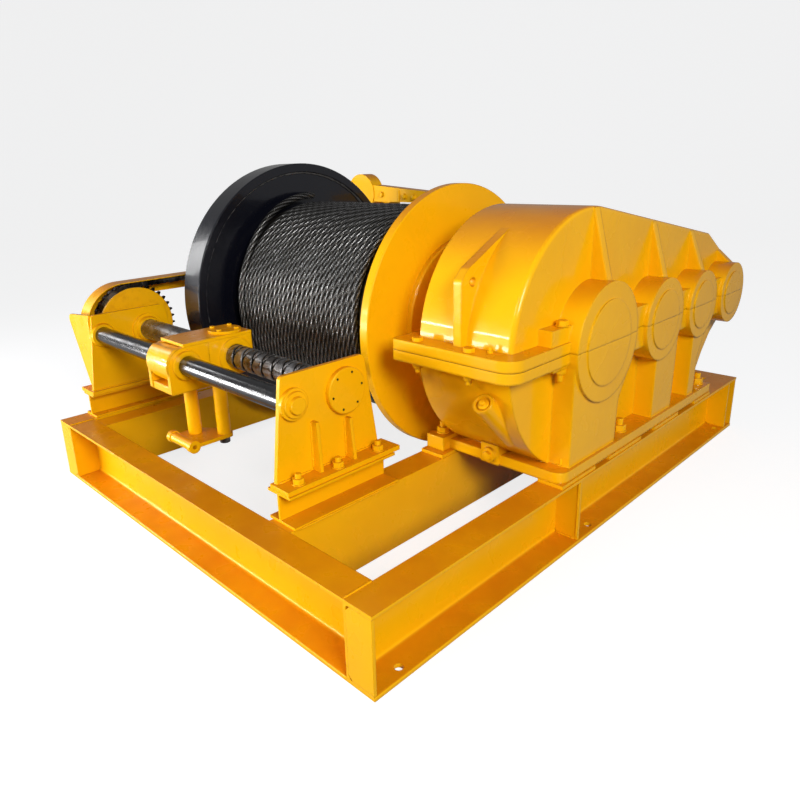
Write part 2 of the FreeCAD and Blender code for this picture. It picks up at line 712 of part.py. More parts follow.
# Carriage
def carriage_side(x):
    """End wall of the carriage, rounded over the rod and flat underneath."""
    shoulder = SCREW_Z - FOLLOWER_R
    points = [(CARRIAGE_FRONT, CARRIAGE_LOW), (CLAMP_BACK, CARRIAGE_LOW),
              (CLAMP_BACK + 30, shoulder), (CARRIAGE_BACK, shoulder),
              (CARRIAGE_BACK, CARRIAGE_TOP - PLATE_T), (CARRIAGE_FRONT, CARRIAGE_TOP - PLATE_T)]
    return prism_x(points, x, x + CARRIAGE_SIDE_T, [8, 0, 0, 40, 0, CARRIAGE_CORNER_R])


def make_carriage():
    left = CARRIAGE_LEFT
    right = CARRIAGE_RIGHT
    under = CARRIAGE_TOP - PLATE_T
    seam = CLAMP_BACK
    front_part = box(left, right + 40, 0, seam, 0, under)
    walls = carriage_side(left).fuse(carriage_side(right - CARRIAGE_SIDE_T))
    body = walls.common(front_part)
    tube = rod_x(left + 6, right - 6, ROD_Y, ROD_Z, CLAMP_R)
    flat = under - CLAMP_GAP
    body = body.fuse(tube.cut(box(left, right, ROD_Y - CLAMP_R, ROD_Y + CLAMP_R, flat, flat + CLAMP_R)))
    body = body.fuse(rod_x(right - 6, right + CLAMP_BOSS_T, ROD_Y, ROD_Z, CLAMP_BOSS_R))
    body = body.fuse(box(left, right, CARRIAGE_FRONT + 4, seam, CARRIAGE_LOW, CARRIAGE_LOW + 28))
    body = body.fuse(box(left, right, seam - 12, seam, CARRIAGE_LOW, under))
    body = body.cut(rod_x(left - 1, right + CLAMP_BOSS_T + 1, ROD_Y, ROD_Z, ROD_R + RUN_GAP))
    save("rod_clamp", body.removeSplitter())
    shoulder = SCREW_Z - FOLLOWER_R
    points = [(seam, shoulder), (CARRIAGE_BACK, shoulder), (CARRIAGE_BACK, under), (seam, under)]
    block = prism_x(points, left, right, [0, 40, 0, 0])
    block = block.fuse(rod_x(right - 6, right + FOLLOWER_BOSS_T, SCREW_Y, SCREW_Z, FOLLOWER_R - 2))
    block = block.cut(rod_x(left - 1, right + FOLLOWER_BOSS_T + 1, SCREW_Y, SCREW_Z,
                            SCREW_R + RUN_GAP))
    save("follower_block", block.removeSplitter())
    save("carriage_top_plate", box(left, right, ROD_Y - 4, CARRIAGE_BACK, under, CARRIAGE_TOP))
    save("follower_cap", rod_z(FOLLOWER_CAP_X, SCREW_Y, CARRIAGE_TOP,
                               CARRIAGE_TOP + FOLLOWER_CAP_T, FOLLOWER_CAP_R))
    save("front_post", rod_z(*FRONT_POST, POST_LOW, CARRIAGE_LOW, POST_R))
    save("rear_post", rod_z(*REAR_POST, POST_LOW, shoulder, POST_R))
    tie_low = POST_LOW - TIE_T
    tube_z = POST_LOW - TIE_T / 2
    tube_right = TIE_RIGHT + 4
    points = [(TIE_LEFT, GUIDE_TUBE_Y), (TIE_RIGHT, GUIDE_TUBE_Y), (TIE_RIGHT, TIE_BACK),
              (TIE_RIGHT - 60, TIE_BACK), (TIE_LEFT, FRONT_POST[1] + 30)]
    tie = prism_z(points, tie_low, POST_LOW, [0, 0, 20, 20, 20])
    tube = rod_x(GUIDE_TUBE_LEFT, tube_right, GUIDE_TUBE_Y, tube_z, GUIDE_TUBE_R)
    for x in (GUIDE_TUBE_LEFT, tube_right - GUIDE_COLLAR_W):
        tube = tube.fuse(rod_x(x, x + GUIDE_COLLAR_W, GUIDE_TUBE_Y, tube_z, GUIDE_COLLAR_R))
    save("post_tie_plate", tie.cut(tube))
    bore = rod_x(GUIDE_TUBE_LEFT - 1, tube_right + 1, GUIDE_TUBE_Y, tube_z, GUIDE_TUBE_R - 12)
    save("rope_guide_tube", tube.cut(bore))


# Supports and drive behind the drum
def make_drum_bearing():
    top = BEARING_FOOT_Z
    points = [(DRUM_Y - SUPPORT_LOW_HALF, BEAM_H), (DRUM_Y + SUPPORT_LOW_HALF, BEAM_H),
              (DRUM_Y + SUPPORT_TOP_HALF, top), (DRUM_Y - SUPPORT_TOP_HALF, top)]
    save("drum_pedestal", prism_x(points, SUPPORT_LEFT, SUPPORT_LEFT + SUPPORT_W))
    foot = top + BEARING_FOOT_T
    high = DRUM_Z + BEARING_HALF
    right = [(BEARING_FOOT_HALF, top), (BEARING_FOOT_HALF, foot), (BEARING_HALF, foot + BEARING_TOE),
             (BEARING_HALF, high - BEARING_DROP), (BEARING_CROWN_HALF, high)]
    radii = [0, 4, BEARING_TOE, BEARING_CORNER_R, BEARING_CORNER_R]
    points = [(DRUM_Y + u, z) for u, z in right] + [(DRUM_Y - u, z) for u, z in right[::-1]]
    block = prism_x(points, BEARING_LEFT, BEARING_LEFT + BEARING_W, radii + radii[::-1])
    block = block.cut(rod_x(BEARING_LEFT - CLEAR, BEARING_LEFT + BEARING_W + CLEAR, DRUM_Y, DRUM_Z,
                            SHAFT_R + RUN_GAP))
    save("drum_pillow_block", block)


def make_motor():
    y = SHAFT_Y[3]
    x = SPLIT_LEFT
    neck = x - BRAKE_COLLAR_T
    far = x - BRAKE_L
    bell = turned_x([(x, 0.01), (x, BELL_R), (neck, BELL_R), (neck - BRAKE_TAPER_T, BELL_R - BRAKE_NECK),
                     (far, BELL_R - BRAKE_BODY), (far, 0.01)], y, DRUM_Z)
    save("motor_brake_housing", bell)
    seat = far - MOTOR_FLANGE_T
    body = far - MOTOR_BODY_L
    cap = body - MOTOR_CAP_STEP
    end = cap - MOTOR_CAP_T
    motor = turned_x([(far, 0.01), (far, MOTOR_FLANGE_R), (seat, MOTOR_FLANGE_R),
                      (seat - MOTOR_STEP, MOTOR_BODY_R), (body, MOTOR_BODY_R), (cap, MOTOR_CAP_R),
                      (end, MOTOR_CAP_R), (end - MOTOR_END_T, MOTOR_CAP_R - MOTOR_END_CHAMFER),
                      (end - MOTOR_END_T, 0.01)], y, DRUM_Z)
    save("hydraulic_motor", motor)


def make_brake_lever():
    back = LEVER_Y + LEVER_T
    post = box(LEVER_POST_X, LEVER_POST_X + LEVER_POST_W, back, back + LEVER_POST_W, BEAM_H,
               LEVER_LOW + LEVER_POST_RISE)
    save("brake_lever_post", post)
    high = LEVER_LOW + LEVER_H
    bar = prism_y([(LEVER_LOBE_X, LEVER_LOW), (LEVER_RIGHT, LEVER_LOW),
                   (LEVER_RIGHT, LEVER_LOW + LEVER_END_H), (LEVER_LOBE_X + LEVER_SHOULDER, high),
                   (LEVER_LOBE_X, high)],
                  LEVER_Y, LEVER_Y + LEVER_T, [0, LEVER_CORNER_R, LEVER_CORNER_R, 0, 0])
    lobe = rod_y(LEVER_LOBE_X, LEVER_Y - LEVER_LOBE_PROUD, back, LEVER_LOBE_Z, LEVER_LOBE_R)
    save("brake_lever", bar.fuse(lobe).removeSplitter())


def half_boss(x0, x1, y, radius, side):
    """Half of a round bearing boss, above or below the split."""
    boss = rod_x(x0, x1, y, DRUM_Z, radius)
    low = DRUM_Z if side < 0 else DRUM_Z - radius - 1
    return boss.cut(box(x0 - 1, x1 + 1, y - radius - 1, y + radius + 1, low, low + radius + 1))


def shell_upper():
    """Arched cover of the gearbox, sloping down to the rear, with a rounded outer edge."""
    lean = math.atan(RIDGE_SLOPE)
    tan_y = DRUM_Y + GEAR_R * math.sin(lean)
    tan_z = DRUM_Z + GEAR_R * math.cos(lean)
    ridge_z = tan_z - RIDGE_SLOPE * (RIDGE_END - tan_y)
    rear_z = ridge_z - REAR_SLOPE * (SHELL_BACK - RIDGE_END)
    start = Vector(GEAR_LEFT, DRUM_Y - GEAR_R, DRUM_Z)
    angle = math.radians(140)
    mid = Vector(GEAR_LEFT, DRUM_Y + GEAR_R * math.cos(angle), DRUM_Z + GEAR_R * math.sin(angle))
    stops = [Vector(GEAR_LEFT, tan_y, tan_z), Vector(GEAR_LEFT, RIDGE_END, ridge_z),
             Vector(GEAR_LEFT, SHELL_BACK, rear_z), Vector(GEAR_LEFT, SHELL_BACK, DRUM_Z), start]
    edges = [Part.Arc(start, mid, stops[0]).toShape()]
    for one, two in zip(stops, stops[1:]):
        edges.append(Part.LineSegment(one, two).toShape())
    shell = Part.Face(Part.Wire(edges)).extrude(Vector(GEAR_RIGHT - GEAR_LEFT, 0, 0))
    outer = []
    for edge in shell.Edges:
        box_of = edge.BoundBox
        if box_of.XMin > GEAR_RIGHT - 0.1 and box_of.ZMax > DRUM_Z + 1:
            outer.append(edge)
    return shell.makeFillet(SHELL_EDGE_R, outer)


def shell_lower():
    """Round-fronted tank of the gearbox with an overhanging rear end."""
    low = BEAM_H + PAD_T
    front = rod_x(GEAR_LEFT, GEAR_RIGHT, DRUM_Y, DRUM_Z, GEAR_LOW_R)
    front = front.common(box(GEAR_LEFT - 1, GEAR_RIGHT + 1, 0, DRUM_Y + 1, low, DRUM_Z))
    points = [(DRUM_Y, low), (GEAR_BASE_BACK + 4, low), (GEAR_BASE_BACK + 30, low + 60),
              (RIDGE_END + 60, low + 150), (RIDGE_END + 130, low + 226), (SHELL_BACK, low + 300),
              (SHELL_BACK, DRUM_Z), (DRUM_Y, DRUM_Z)]
    rear = prism_x(points, GEAR_LEFT, GEAR_RIGHT, [0, 0, 0, 60, 90, 40, 0, 0])
    return front.fuse(rear)


def split_flange(z0, z1):
    front = DRUM_Y - GEAR_LOW_R - SPLIT_LIP_FRONT
    back = SHELL_BACK + SPLIT_LIP_BACK
    corners = [(SPLIT_LEFT, front), (SPLIT_RIGHT, front), (SPLIT_RIGHT, back), (SPLIT_LEFT, back)]
    return prism_z(corners, z0, z1, [14, SPLIT_CORNER, 14, 14])


def lifting_lug():
    """Fin on the front of the cover, upright below and then leaning back to the arch."""
    front = DRUM_Y - GEAR_R - 25
    points = [(front, DRUM_Z + SPLIT_T - 2), (front, DRUM_Z + 240), (front + 34, DRUM_Z + 274),
              (DRUM_Y - 222, DRUM_Z + 376), (DRUM_Y - 180, DRUM_Z + 300),
              (DRUM_Y - 300, DRUM_Z + SPLIT_T - 2)]
    lug = prism_x(points, LUG_LEFT, LUG_LEFT + LUG_T, [0, 14, 30, 0, 0, 0])
    return lug.cut(rod_x(LUG_LEFT - 1, LUG_LEFT + LUG_T + 1, front + 54, DRUM_Z + 230, LUG_HOLE_R))


def boss_rib(y, boss_r):
    """Gusset from the cover's outer edge down to the top of a bearing boss."""
    if y < RIDGE_END:
        high = DRUM_Z + GEAR_R - RIDGE_SLOPE * (y - DRUM_Y) - 4
    else:
        high = DRUM_Z + GEAR_R - RIDGE_SLOPE * (RIDGE_END - DRUM_Y) - REAR_SLOPE * (y - RIDGE_END) - 20
    foot = DRUM_Z + boss_r - 6
    points = [(GEAR_RIGHT - 40, foot), (RIB_FOOT, foot), (GEAR_RIGHT + 2, high), (GEAR_RIGHT - 40, high)]
    return prism_y(points, y, y + RIB_T)


def make_gearbox():
    split = DRUM_Z
    upper = shell_upper().fuse(split_flange(split, split + SPLIT_T)).fuse(lifting_lug())
    for y, radius in zip(SHAFT_Y, BOSS_R):
        upper = upper.fuse(half_boss(GEAR_RIGHT - 30, BOSS_RIGHT, y, radius, 1))
        upper = upper.fuse(half_boss(BOSS_RIGHT, BOSS_RIGHT + COVER_T, y, radius * COVER_SHARE, 1))
        upper = upper.fuse(boss_rib(y + 2, radius))
    upper = upper.fuse(box(GEAR_RIGHT - 30, BOLT_PAD_FACE, SHAFT_Y[0], SHAFT_Y[3], split, BOLT_PAD_TOP))
    upper = upper.fuse(box(GEAR_RIGHT - 30, SPLIT_RIGHT - 8, BOLT_PAD_FRONT, DRUM_Y, split,
                           BOLT_PAD_TOP + 8))
    upper = upper.fuse(half_boss(SPLIT_LEFT, GEAR_LEFT + 10, SHAFT_Y[3], BELL_R, 1))
    bore = rod_x(SPLIT_LEFT - 1, GEAR_LEFT + SHAFT_ENGAGE + CLEAR, DRUM_Y, split,
                 OUTPUT_SHAFT_R + RUN_GAP)
    upper = upper.cut(bore)
    save("gearbox_upper_housing", upper.removeSplitter())

    low = BEAM_H + PAD_T
    base_top = low + GEAR_BASE_T
    lower = shell_lower().fuse(split_flange(split - SPLIT_T, split))
    corners = [(GEAR_BASE_LEFT, GEAR_BASE_FRONT), (GEAR_BASE_RIGHT, GEAR_BASE_FRONT),
               (GEAR_BASE_RIGHT, GEAR_BASE_BACK), (GEAR_BASE_LEFT, GEAR_BASE_BACK)]
    lower = lower.fuse(prism_z(corners, low, base_top, [10, 44, 8, 8]))
    lower = lower.fuse(box(GEAR_BASE_LEFT - 8, GEAR_BASE_LEFT + 70, GEAR_BASE_FRONT - 40,
                           GEAR_BASE_FRONT + 60, low, low + 52))
    for y, radius in zip(SHAFT_Y, BOSS_R):
        lower = lower.fuse(half_boss(GEAR_RIGHT - 30, BOSS_RIGHT, y, radius, -1))
        lower = lower.fuse(half_boss(BOSS_RIGHT, BOSS_RIGHT + COVER_T, y, radius * COVER_SHARE, -1))
    lower = lower.fuse(box(GEAR_RIGHT - 30, BOLT_PAD_FACE, SHAFT_Y[0], SHAFT_Y[3], BOLT_PAD_LOW, split))
    lower = lower.fuse(box(GEAR_RIGHT - 30, SPLIT_RIGHT - 8, BOLT_PAD_FRONT + 17, DRUM_Y,
                           BOLT_PAD_LOW + 30, split))
    legs = ((DRUM_Y - 197, DRUM_Y + 110, DRUM_Y + 200),
            (SHAFT_Y[1] - 24, SHAFT_Y[1] + 148, SHAFT_Y[1] + 156),
            (SHAFT_Y[2] - 42, SHAFT_Y[2] + 18, SHAFT_Y[2] + 100))
    for front, back, flare in legs:
        points = [(front, low), (back, low), (back + 6, low + 200), (flare, BOLT_PAD_LOW - 20),
                  (flare, split - 40), (front, split - 40)]
        lower = lower.fuse(prism_x(points, GEAR_RIGHT - 30, PEDESTAL_FACE, [0, 0, 80, 0, 0, 0]))
    lower = lower.fuse(half_boss(SPLIT_LEFT, GEAR_LEFT + 10, SHAFT_Y[3], BELL_R, -1))
    lower = lower.fuse(oil_gauge())
    lower = lower.fuse(box(GAUGE_X - 148, GAUGE_X - 74, GEAR_BASE_FRONT - 12, GEAR_BASE_FRONT + 60,
                           low + 2, base_top + 36))
    lower = lower.fuse(rod_y(GAUGE_X - 111, GEAR_BASE_FRONT - 24, GEAR_BASE_FRONT, low + 36, 27))
    lower = lower.cut(bore)
    save("gearbox_lower_housing", lower.removeSplitter())


def oil_gauge():
    """Slanted filler and gauge socket that leaves the tank forward and upward."""
    way = Vector(0, -1, 1).normalize()
    start = Vector(GAUGE_X, DRUM_Y - 300, DRUM_Z - 290)
    length = 233.0
    tube = Part.makeCylinder(GAUGE_R, length, start, way)
    mouth = Part.makeCylinder(GAUGE_R - 9, 12, start + way * (length - 11), way)
    return tube.cut(mouth)


def gear_pads(x0, x1, steps, lengths):
    pads = []
    for step, length in zip(steps, lengths):
        y = GEAR_BASE_FRONT + step
        pads.append(box(x0, x1, y, y + length, BEAM_H, BEAM_H + PAD_T))
    return pads


def make_gear_pads():
    """Packing plates between the gearbox feet and the two channels."""
    save("gearbox_pads_right", *gear_pads(FRAME_X - BEAM_W + PAD_BACK_INSET, FRAME_X - PAD_TOE_INSET,
                                          RIGHT_PAD_STEPS, RIGHT_PAD_LENGTHS))
    save("gearbox_pads_left", *gear_pads(MID_BEAM_RIGHT - BEAM_W + LEFT_PAD_INSET,
                                         MID_BEAM_RIGHT - LEFT_PAD_INSET,
                                         LEFT_PAD_STEPS, LEFT_PAD_LENGTHS))


os.makedirs("parts", exist_ok=True)
make_frame()
make_drum()
make_chain()
make_guard()
make_stands()
make_bearings()
make_screw()
make_carriage()
make_drum_bearing()
make_gearbox()
make_gear_pads()
make_motor()
make_brake_lever()
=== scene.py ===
import logging
import math
import random
from dataclasses import dataclass, field
from enum import Enum
from typing import Callable, Sequence, Union

import bmesh
import bpy
from mathutils import Matrix, Vector


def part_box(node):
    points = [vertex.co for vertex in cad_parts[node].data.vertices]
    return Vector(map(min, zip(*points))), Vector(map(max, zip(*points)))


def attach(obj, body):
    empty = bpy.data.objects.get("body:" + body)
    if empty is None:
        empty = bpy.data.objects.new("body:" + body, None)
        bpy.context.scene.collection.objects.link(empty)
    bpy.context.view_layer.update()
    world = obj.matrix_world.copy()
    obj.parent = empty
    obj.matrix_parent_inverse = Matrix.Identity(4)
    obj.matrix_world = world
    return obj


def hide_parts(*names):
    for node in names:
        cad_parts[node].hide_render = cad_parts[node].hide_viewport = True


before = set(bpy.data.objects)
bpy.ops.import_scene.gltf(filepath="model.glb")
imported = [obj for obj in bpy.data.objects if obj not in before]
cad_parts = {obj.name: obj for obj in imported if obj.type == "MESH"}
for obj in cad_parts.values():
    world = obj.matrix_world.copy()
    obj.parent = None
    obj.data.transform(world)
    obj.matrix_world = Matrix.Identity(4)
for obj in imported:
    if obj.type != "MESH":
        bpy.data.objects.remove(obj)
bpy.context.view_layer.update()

LOG = logging.getLogger("hydraulic_winch")

# Places are written in corner millimetres, as the CAD source draws them, and place() turns
# them into metres from the middle of the frame's underside.
MM = 0.001
FRAME_X = 1.956
FRAME_Y = 2.446
DRUM_Y = 1119.0
DRUM_Z = 691.0
SCREW_Y = 408.0
SCREW_Z = 595.5
ROPE_D = 0.030
BEAD_STEP = 0.0036
BEAD_RIPPLE = 0.0105
BEAD_GRAIN = 0.009
X = Vector((1.0, 0.0, 0.0))
Y = Vector((0.0, 1.0, 0.0))
Z = Vector((0.0, 0.0, 1.0))

Colour = tuple[float, float, float, float]
Number = Union["Sock", float]


def place(x: float, y: float, z: float) -> Vector:
    """Turns corner millimetres into a point of the shared frame.

    Args:
        x: Distance from the frame's left side, in millimetres.
        y: Distance from the frame's front, in millimetres.
        z: Height above the floor, in millimetres.

    Returns:
        The same point in metres from the middle of the frame's underside.
    """
    return Vector((x * MM - FRAME_X / 2, y * MM - FRAME_Y / 2, z * MM))


# Shading
class Sock:
    """A shader socket that takes part in sums, products and comparisons."""

    def __init__(self, graph: "Graph", socket: bpy.types.NodeSocket) -> None:
        """Keeps the socket and the graph that it belongs to."""
        self.graph = graph
        self.socket = socket

    def _math(self, kind: str, first: Number, second: Number) -> "Sock":
        """Returns the result of one Math node on two values."""
        return self.graph.node("ShaderNodeMath", {0: first, 1: second}, operation=kind)

    def __add__(self, other: Number) -> "Sock":
        """Returns the sum."""
        return self._math("ADD", self, other)

    def __sub__(self, other: Number) -> "Sock":
        """Returns the difference."""
        return self._math("SUBTRACT", self, other)

    def __rsub__(self, other: Number) -> "Sock":
        """Returns a number less this value."""
        return self._math("SUBTRACT", other, self)

    def __mul__(self, other: Number) -> "Sock":
        """Returns the product."""
        return self._math("MULTIPLY", self, other)

    __radd__ = __add__
    __rmul__ = __mul__

    def sine(self) -> "Sock":
        """Returns the sine of this value."""
        return self.graph.node("ShaderNodeMath", {0: self}, operation="SINE")

    def ramp(self, low: float, high: float, to_low: float = 0.0, to_high: float = 1.0) -> "Sock":
        """Moves this value smoothly from one range to another.

        Args:
            low: Value that gives to_low.
            high: Value that gives to_high.
            to_low: Result at and below low.
            to_high: Result at and above high.

        Returns:
            The moved value.
        """
        values = {"Value": self, "From Min": low, "From Max": high, "To Min": to_low, "To Max": to_high}
        return self.graph.node("ShaderNodeMapRange", values, "Result", interpolation_type="SMOOTHSTEP")

    def part(self, axis: int) -> "Sock":
        """Returns one component of this vector."""
        return self.graph.node("ShaderNodeSeparateXYZ", {0: self}, axis)

    def blend(self, first: Union["Sock", Colour], second: Union["Sock", Colour]) -> "Sock":
        """Returns a colour between two, with this value as the share of the second."""
        values = {"Factor": self, "A": first, "B": second}
        return self.graph.node("ShaderNodeMix", values, "Result", "RGBA", data_type="RGBA")


class Graph:
    """The node tree of one material."""

    def __init__(self, name: str) -> None:
        """Starts an empty tree for a material of this name.

        Args:
            name: Name of the material.
        """
        self.material = bpy.data.materials.new(name)
        self.material.use_nodes = True
        self.tree = self.material.node_tree
        self.tree.nodes.clear()

    def node(self, kind: str, values: dict, output: Union[int, str] = 0, sockets: str = "",
             **settings: object) -> Sock:
        """Makes one node, feeds it and hands back one output.

        Args:
            kind: The node's type.
            values: Socket name or number to a value or a Sock.
            output: Name or number of the wanted output.
            sockets: Type of socket to pick where several share a name.
            **settings: Settings of the node itself, made first.

        Returns:
            The wanted output.
        """
        made = self.tree.nodes.new(kind)
        for key, value in settings.items():
            setattr(made, key, value)
        for key, value in values.items():
            target = self._pick(made.inputs, key, sockets)
            if isinstance(value, Sock):
                self.tree.links.new(value.socket, target)
            else:
                target.default_value = value
        return Sock(self, self._pick(made.outputs, output, sockets))

    @staticmethod
    def _pick(group: Sequence, key: Union[int, str], sockets: str) -> bpy.types.NodeSocket:
        """Returns the socket of a name or number, of the wanted type where names repeat.

        Args:
            group: Sockets to choose from.
            key: Name or number of the socket.
            sockets: Wanted type, or nothing.

        Returns:
            The socket.
        """
        if isinstance(key, int):
            return group[key]
        wanted = [socket for socket in group if socket.name == key]
        if sockets and key != "Factor":
            wanted = [socket for socket in wanted if socket.type == sockets]
        return wanted[0]

    def place_on_piece(self) -> Sock:
        """Returns the Object coordinates."""
        return self.node("ShaderNodeTexCoord", {}, "Object")

    def mark(self, name: str) -> Sock:
        """Returns a value stored on the piece's points."""
        return self.node("ShaderNodeAttribute", {}, "Fac", attribute_name=name)

    def noise(self, scale: float, detail: float = 2.0) -> Sock:
        """Returns soft noise between 0 and 1, at so many grains a metre."""
        values = {"Vector": self.place_on_piece(), "Scale": scale, "Detail": detail}
        return self.node("ShaderNodeTexNoise", values)

    def bump(self, height: Sock, strength: float, distance: float, edge: float = 0.0) -> Sock:
        """Bends the surface by a height.

        Args:
            height: The height, between 0 and 1.
            strength: Share of the effect.
            distance: Depth in metres that a height of 1 stands for.
            edge: Radius in metres by which sharp edges look rounded, 0 for none.

        Returns:
            The bent normal.
        """
        values = {"Height": height, "Strength": strength, "Distance": distance}
        if edge:
            values["Normal"] = self.node("ShaderNodeBevel", {"Radius": edge}, samples=4)
        return self.node("ShaderNodeBump", values)

    def close(self, **values: object) -> bpy.types.Material:
        """Ends the tree with one surface shader.

        Args:
            **values: Inputs of the shader, with _ for a space, and their values.

        Returns:
            The finished material.
        """
        named = {key.replace("_", " "): value for key, value in values.items()}
        surface = self.node("ShaderNodeBsdfPrincipled", named)
        end = self.tree.nodes.new("ShaderNodeOutputMaterial")
        self.tree.links.new(surface.socket, end.inputs["Surface"])
        return self.material


class Tone(Enum):
    """Base colours, in linear light."""

    YELLOW = (0.93, 0.470, 0.002, 1.0)
    # AMBER is painted shade on the upward faces of yellow paint, and also a random mottle colour.
    AMBER = (0.56, 0.165, 0.002, 1.0)
    BLACK = (0.0035, 0.004, 0.008, 1.0)
    # Lighter black for the upward faces of black paint: painted light, with random mottle.
    BLACK_MOTTLE_AND_TOP_LIGHT = (0.006, 0.0055, 0.006, 1.0)
    STEEL = (0.42, 0.42, 0.43, 1.0)
    CHROME = (0.115, 0.115, 0.120, 1.0)
    WORN_CHROME = (0.085, 0.082, 0.080, 1.0)
    WIRE = (0.34, 0.335, 0.33, 1.0)
    OILED_WIRE = (0.022, 0.020, 0.017, 1.0)
    SCREW = (0.13, 0.115, 0.105, 1.0)
    BRIGHT_SCREW = (0.34, 0.33, 0.33, 1.0)
    GOLD_SHEEN = (1.0, 0.78, 0.30, 1.0)
    PLAIN_SHEEN = (1.0, 1.0, 1.0, 1.0)
    CHAIN = (0.050, 0.047, 0.044, 1.0)
    UMBER = (0.20, 0.060, 0.004, 1.0)
    GREASE = (0.006, 0.005, 0.004, 1.0)
    FLOOR = (0.26, 0.265, 0.275, 1.0)


@dataclass(frozen=True)
class PaintFinish:
    """A sprayed gloss paint, with painted shade on the faces that look upward.

    Attributes:
        name: Name of the material.
        tone: Colour of the full film.
        mottle_and_top_shade: Colour of the random cloudy mottle, and painted shade on faces that look upward.
        rough: Roughness of the surface.
        coat: Weight of the clear gloss on top.
        grain: Grains of unevenness a metre.
        relief: Depth of the unevenness, in metres.
        edge: Radius to which the paint rounds sharp edges, in metres.
        shine: Strength of the mirror-like part.
        tint: Colour of the mirror-like part.
    """

    name: str
    tone: Tone
    mottle_and_top_shade: Tone
    rough: float = 0.30
    coat: float = 0.10
    grain: float = 60.0
    relief: float = 0.0005
    edge: float = 0.004
    shine: float = 0.30
    tint: Tone = Tone.GOLD_SHEEN

    def build(self) -> bpy.types.Material:
        """Makes the material.

        Returns:
            The material.
        """
        graph = Graph(self.name)
        cloud = graph.noise(3.1, 3.0)
        patch = graph.noise(self.grain * 0.2, 3.0)
        fine = graph.noise(self.grain, 2.0)
        # Upward faces take the second colour: painted shade for the dimmer light on top faces.
        top_shade = graph.node("ShaderNodeTexCoord", {}, "Normal").part(2).ramp(0.50, 0.98, 0.0, 0.78)
        # The second colour's share is random cloudy mottle plus that painted top shade.
        film = cloud.ramp(0.30, 0.72, 0.0, 0.14) + top_shade * patch.ramp(0.2, 0.7, 0.85, 1.0)
        colour = film.blend(self.tone.value, self.mottle_and_top_shade.value)
        rough = patch.ramp(0.3, 0.7, self.rough * 0.85, self.rough * 1.2)
        normal = graph.bump(fine + patch, 0.5, self.relief, self.edge)
        return graph.close(Base_Color=colour, Roughness=rough, Specular_IOR_Level=self.shine,
                           Specular_Tint=self.tint.value, Coat_Weight=self.coat, Coat_Roughness=0.05,
                           Normal=normal)


@dataclass(frozen=True)
class SteelFinish:
    """Bare or oiled steel with fine turning marks along X.

    Attributes:
        name: Name of the material.
        tone: Colour of the clean metal.
        worn: Colour of the duller patches.
        rough: Roughness of the clean metal.
        turning: Turning marks, as waves a metre, 0 for none.
        relief: Depth of the marks in metres.
    """

    name: str
    tone: Tone
    worn: Tone
    rough: float = 0.30
    turning: float = 0.0
    relief: float = 0.0003

    def build(self) -> bpy.types.Material:
        """Makes the material.

        Returns:
            The material.
        """
        graph = Graph(self.name)
        patch = graph.noise(16.0, 4.0)
        colour = patch.ramp(0.35, 0.75).blend(self.tone.value, self.worn.value)
        rough = patch.ramp(0.3, 0.75, self.rough * 0.8, self.rough * 1.5)
        marks = graph.noise(180.0, 2.0)
        if self.turning:
            marks = (graph.place_on_piece().part(0) * self.turning).sine() * 0.5 + 0.5
        normal = graph.bump(marks, 0.10, self.relief)
        return graph.close(Base_Color=colour, Roughness=rough, Metallic=1.0, Normal=normal)


@dataclass(frozen=True)
class RopeFinish:
    """Greased wire rope: bright wires on the crests of the strands, grease between them; the light crests are
    also painted highlight and the dark valleys also painted shade.

    Attributes:
        wires: Wires seen along one twist of a strand.
        rough: Roughness of the crests.
    """

    wires: float = 46.0
    rough: float = 0.22

    def build(self) -> bpy.types.Material:
        """Makes the material.

        Returns:
            The material.
        """
        graph = Graph("greased_wire_rope")
        sheet = graph.node("ShaderNodeTexCoord", {}, "UV")
        wires = (sheet.part(0) * (self.wires * math.tau) + sheet.part(1) * 88.0).sine()
        crest = graph.mark("crest").ramp(0.55, 1.0)
        patch = graph.noise(7.0, 4.0)
        # Crests lighter and stripes darker between wires: bare wire, and also painted highlight and shade.
        bare_and_lit_crest = crest * wires.ramp(-1.0, 0.8, 0.45, 1.0) * patch.ramp(0.30, 0.72, 0.55, 1.0)
        cover = bare_and_lit_crest.blend(Tone.OILED_WIRE.value, Tone.WIRE.value)
        # Valleys between strands go to grease colour: grease, and also painted shade.
        colour = graph.mark("crest").ramp(0.0, 0.35).blend(Tone.GREASE.value, cover)
        rough = graph.noise(240.0, 2.0).ramp(0.3, 0.8, self.rough * 0.85, self.rough * 1.6)
        normal = graph.bump(wires * 0.5 + 0.5, 0.55, 0.0011)
        return graph.close(Base_Color=colour, Roughness=rough, Metallic=0.85, Normal=normal)


@dataclass(frozen=True)
class ScrewFinish:
    """Turned dark steel, near black in the grooves from grease and painted shade, told apart by a mark on the
    points.

    Attributes:
        rough: Roughness of the lands.
    """

    rough: float = 0.26

    def build(self) -> bpy.types.Material:
        """Makes the material.

        Returns:
            The material.
        """
        graph = Graph("oiled_screw_steel")
        depth = graph.mark("groove")
        patch = graph.noise(22.0, 3.0)
        rings = (graph.place_on_piece().part(0) * 2400.0).sine()
        land = patch.ramp(0.35, 0.75).blend(Tone.SCREW.value, Tone.BRIGHT_SCREW.value)
        # Groove bottoms go to grease colour: grease, and also painted shade in the recess.
        colour = depth.ramp(0.1, 0.7).blend(land, Tone.GREASE.value)
        rough = patch.ramp(0.3, 0.7, self.rough * 0.8, self.rough * 1.5)
        normal = graph.bump(rings * 0.5 + 0.5, 0.10, 0.0004)
        return graph.close(Base_Color=colour, Roughness=rough, Metallic=0.9, Normal=normal)


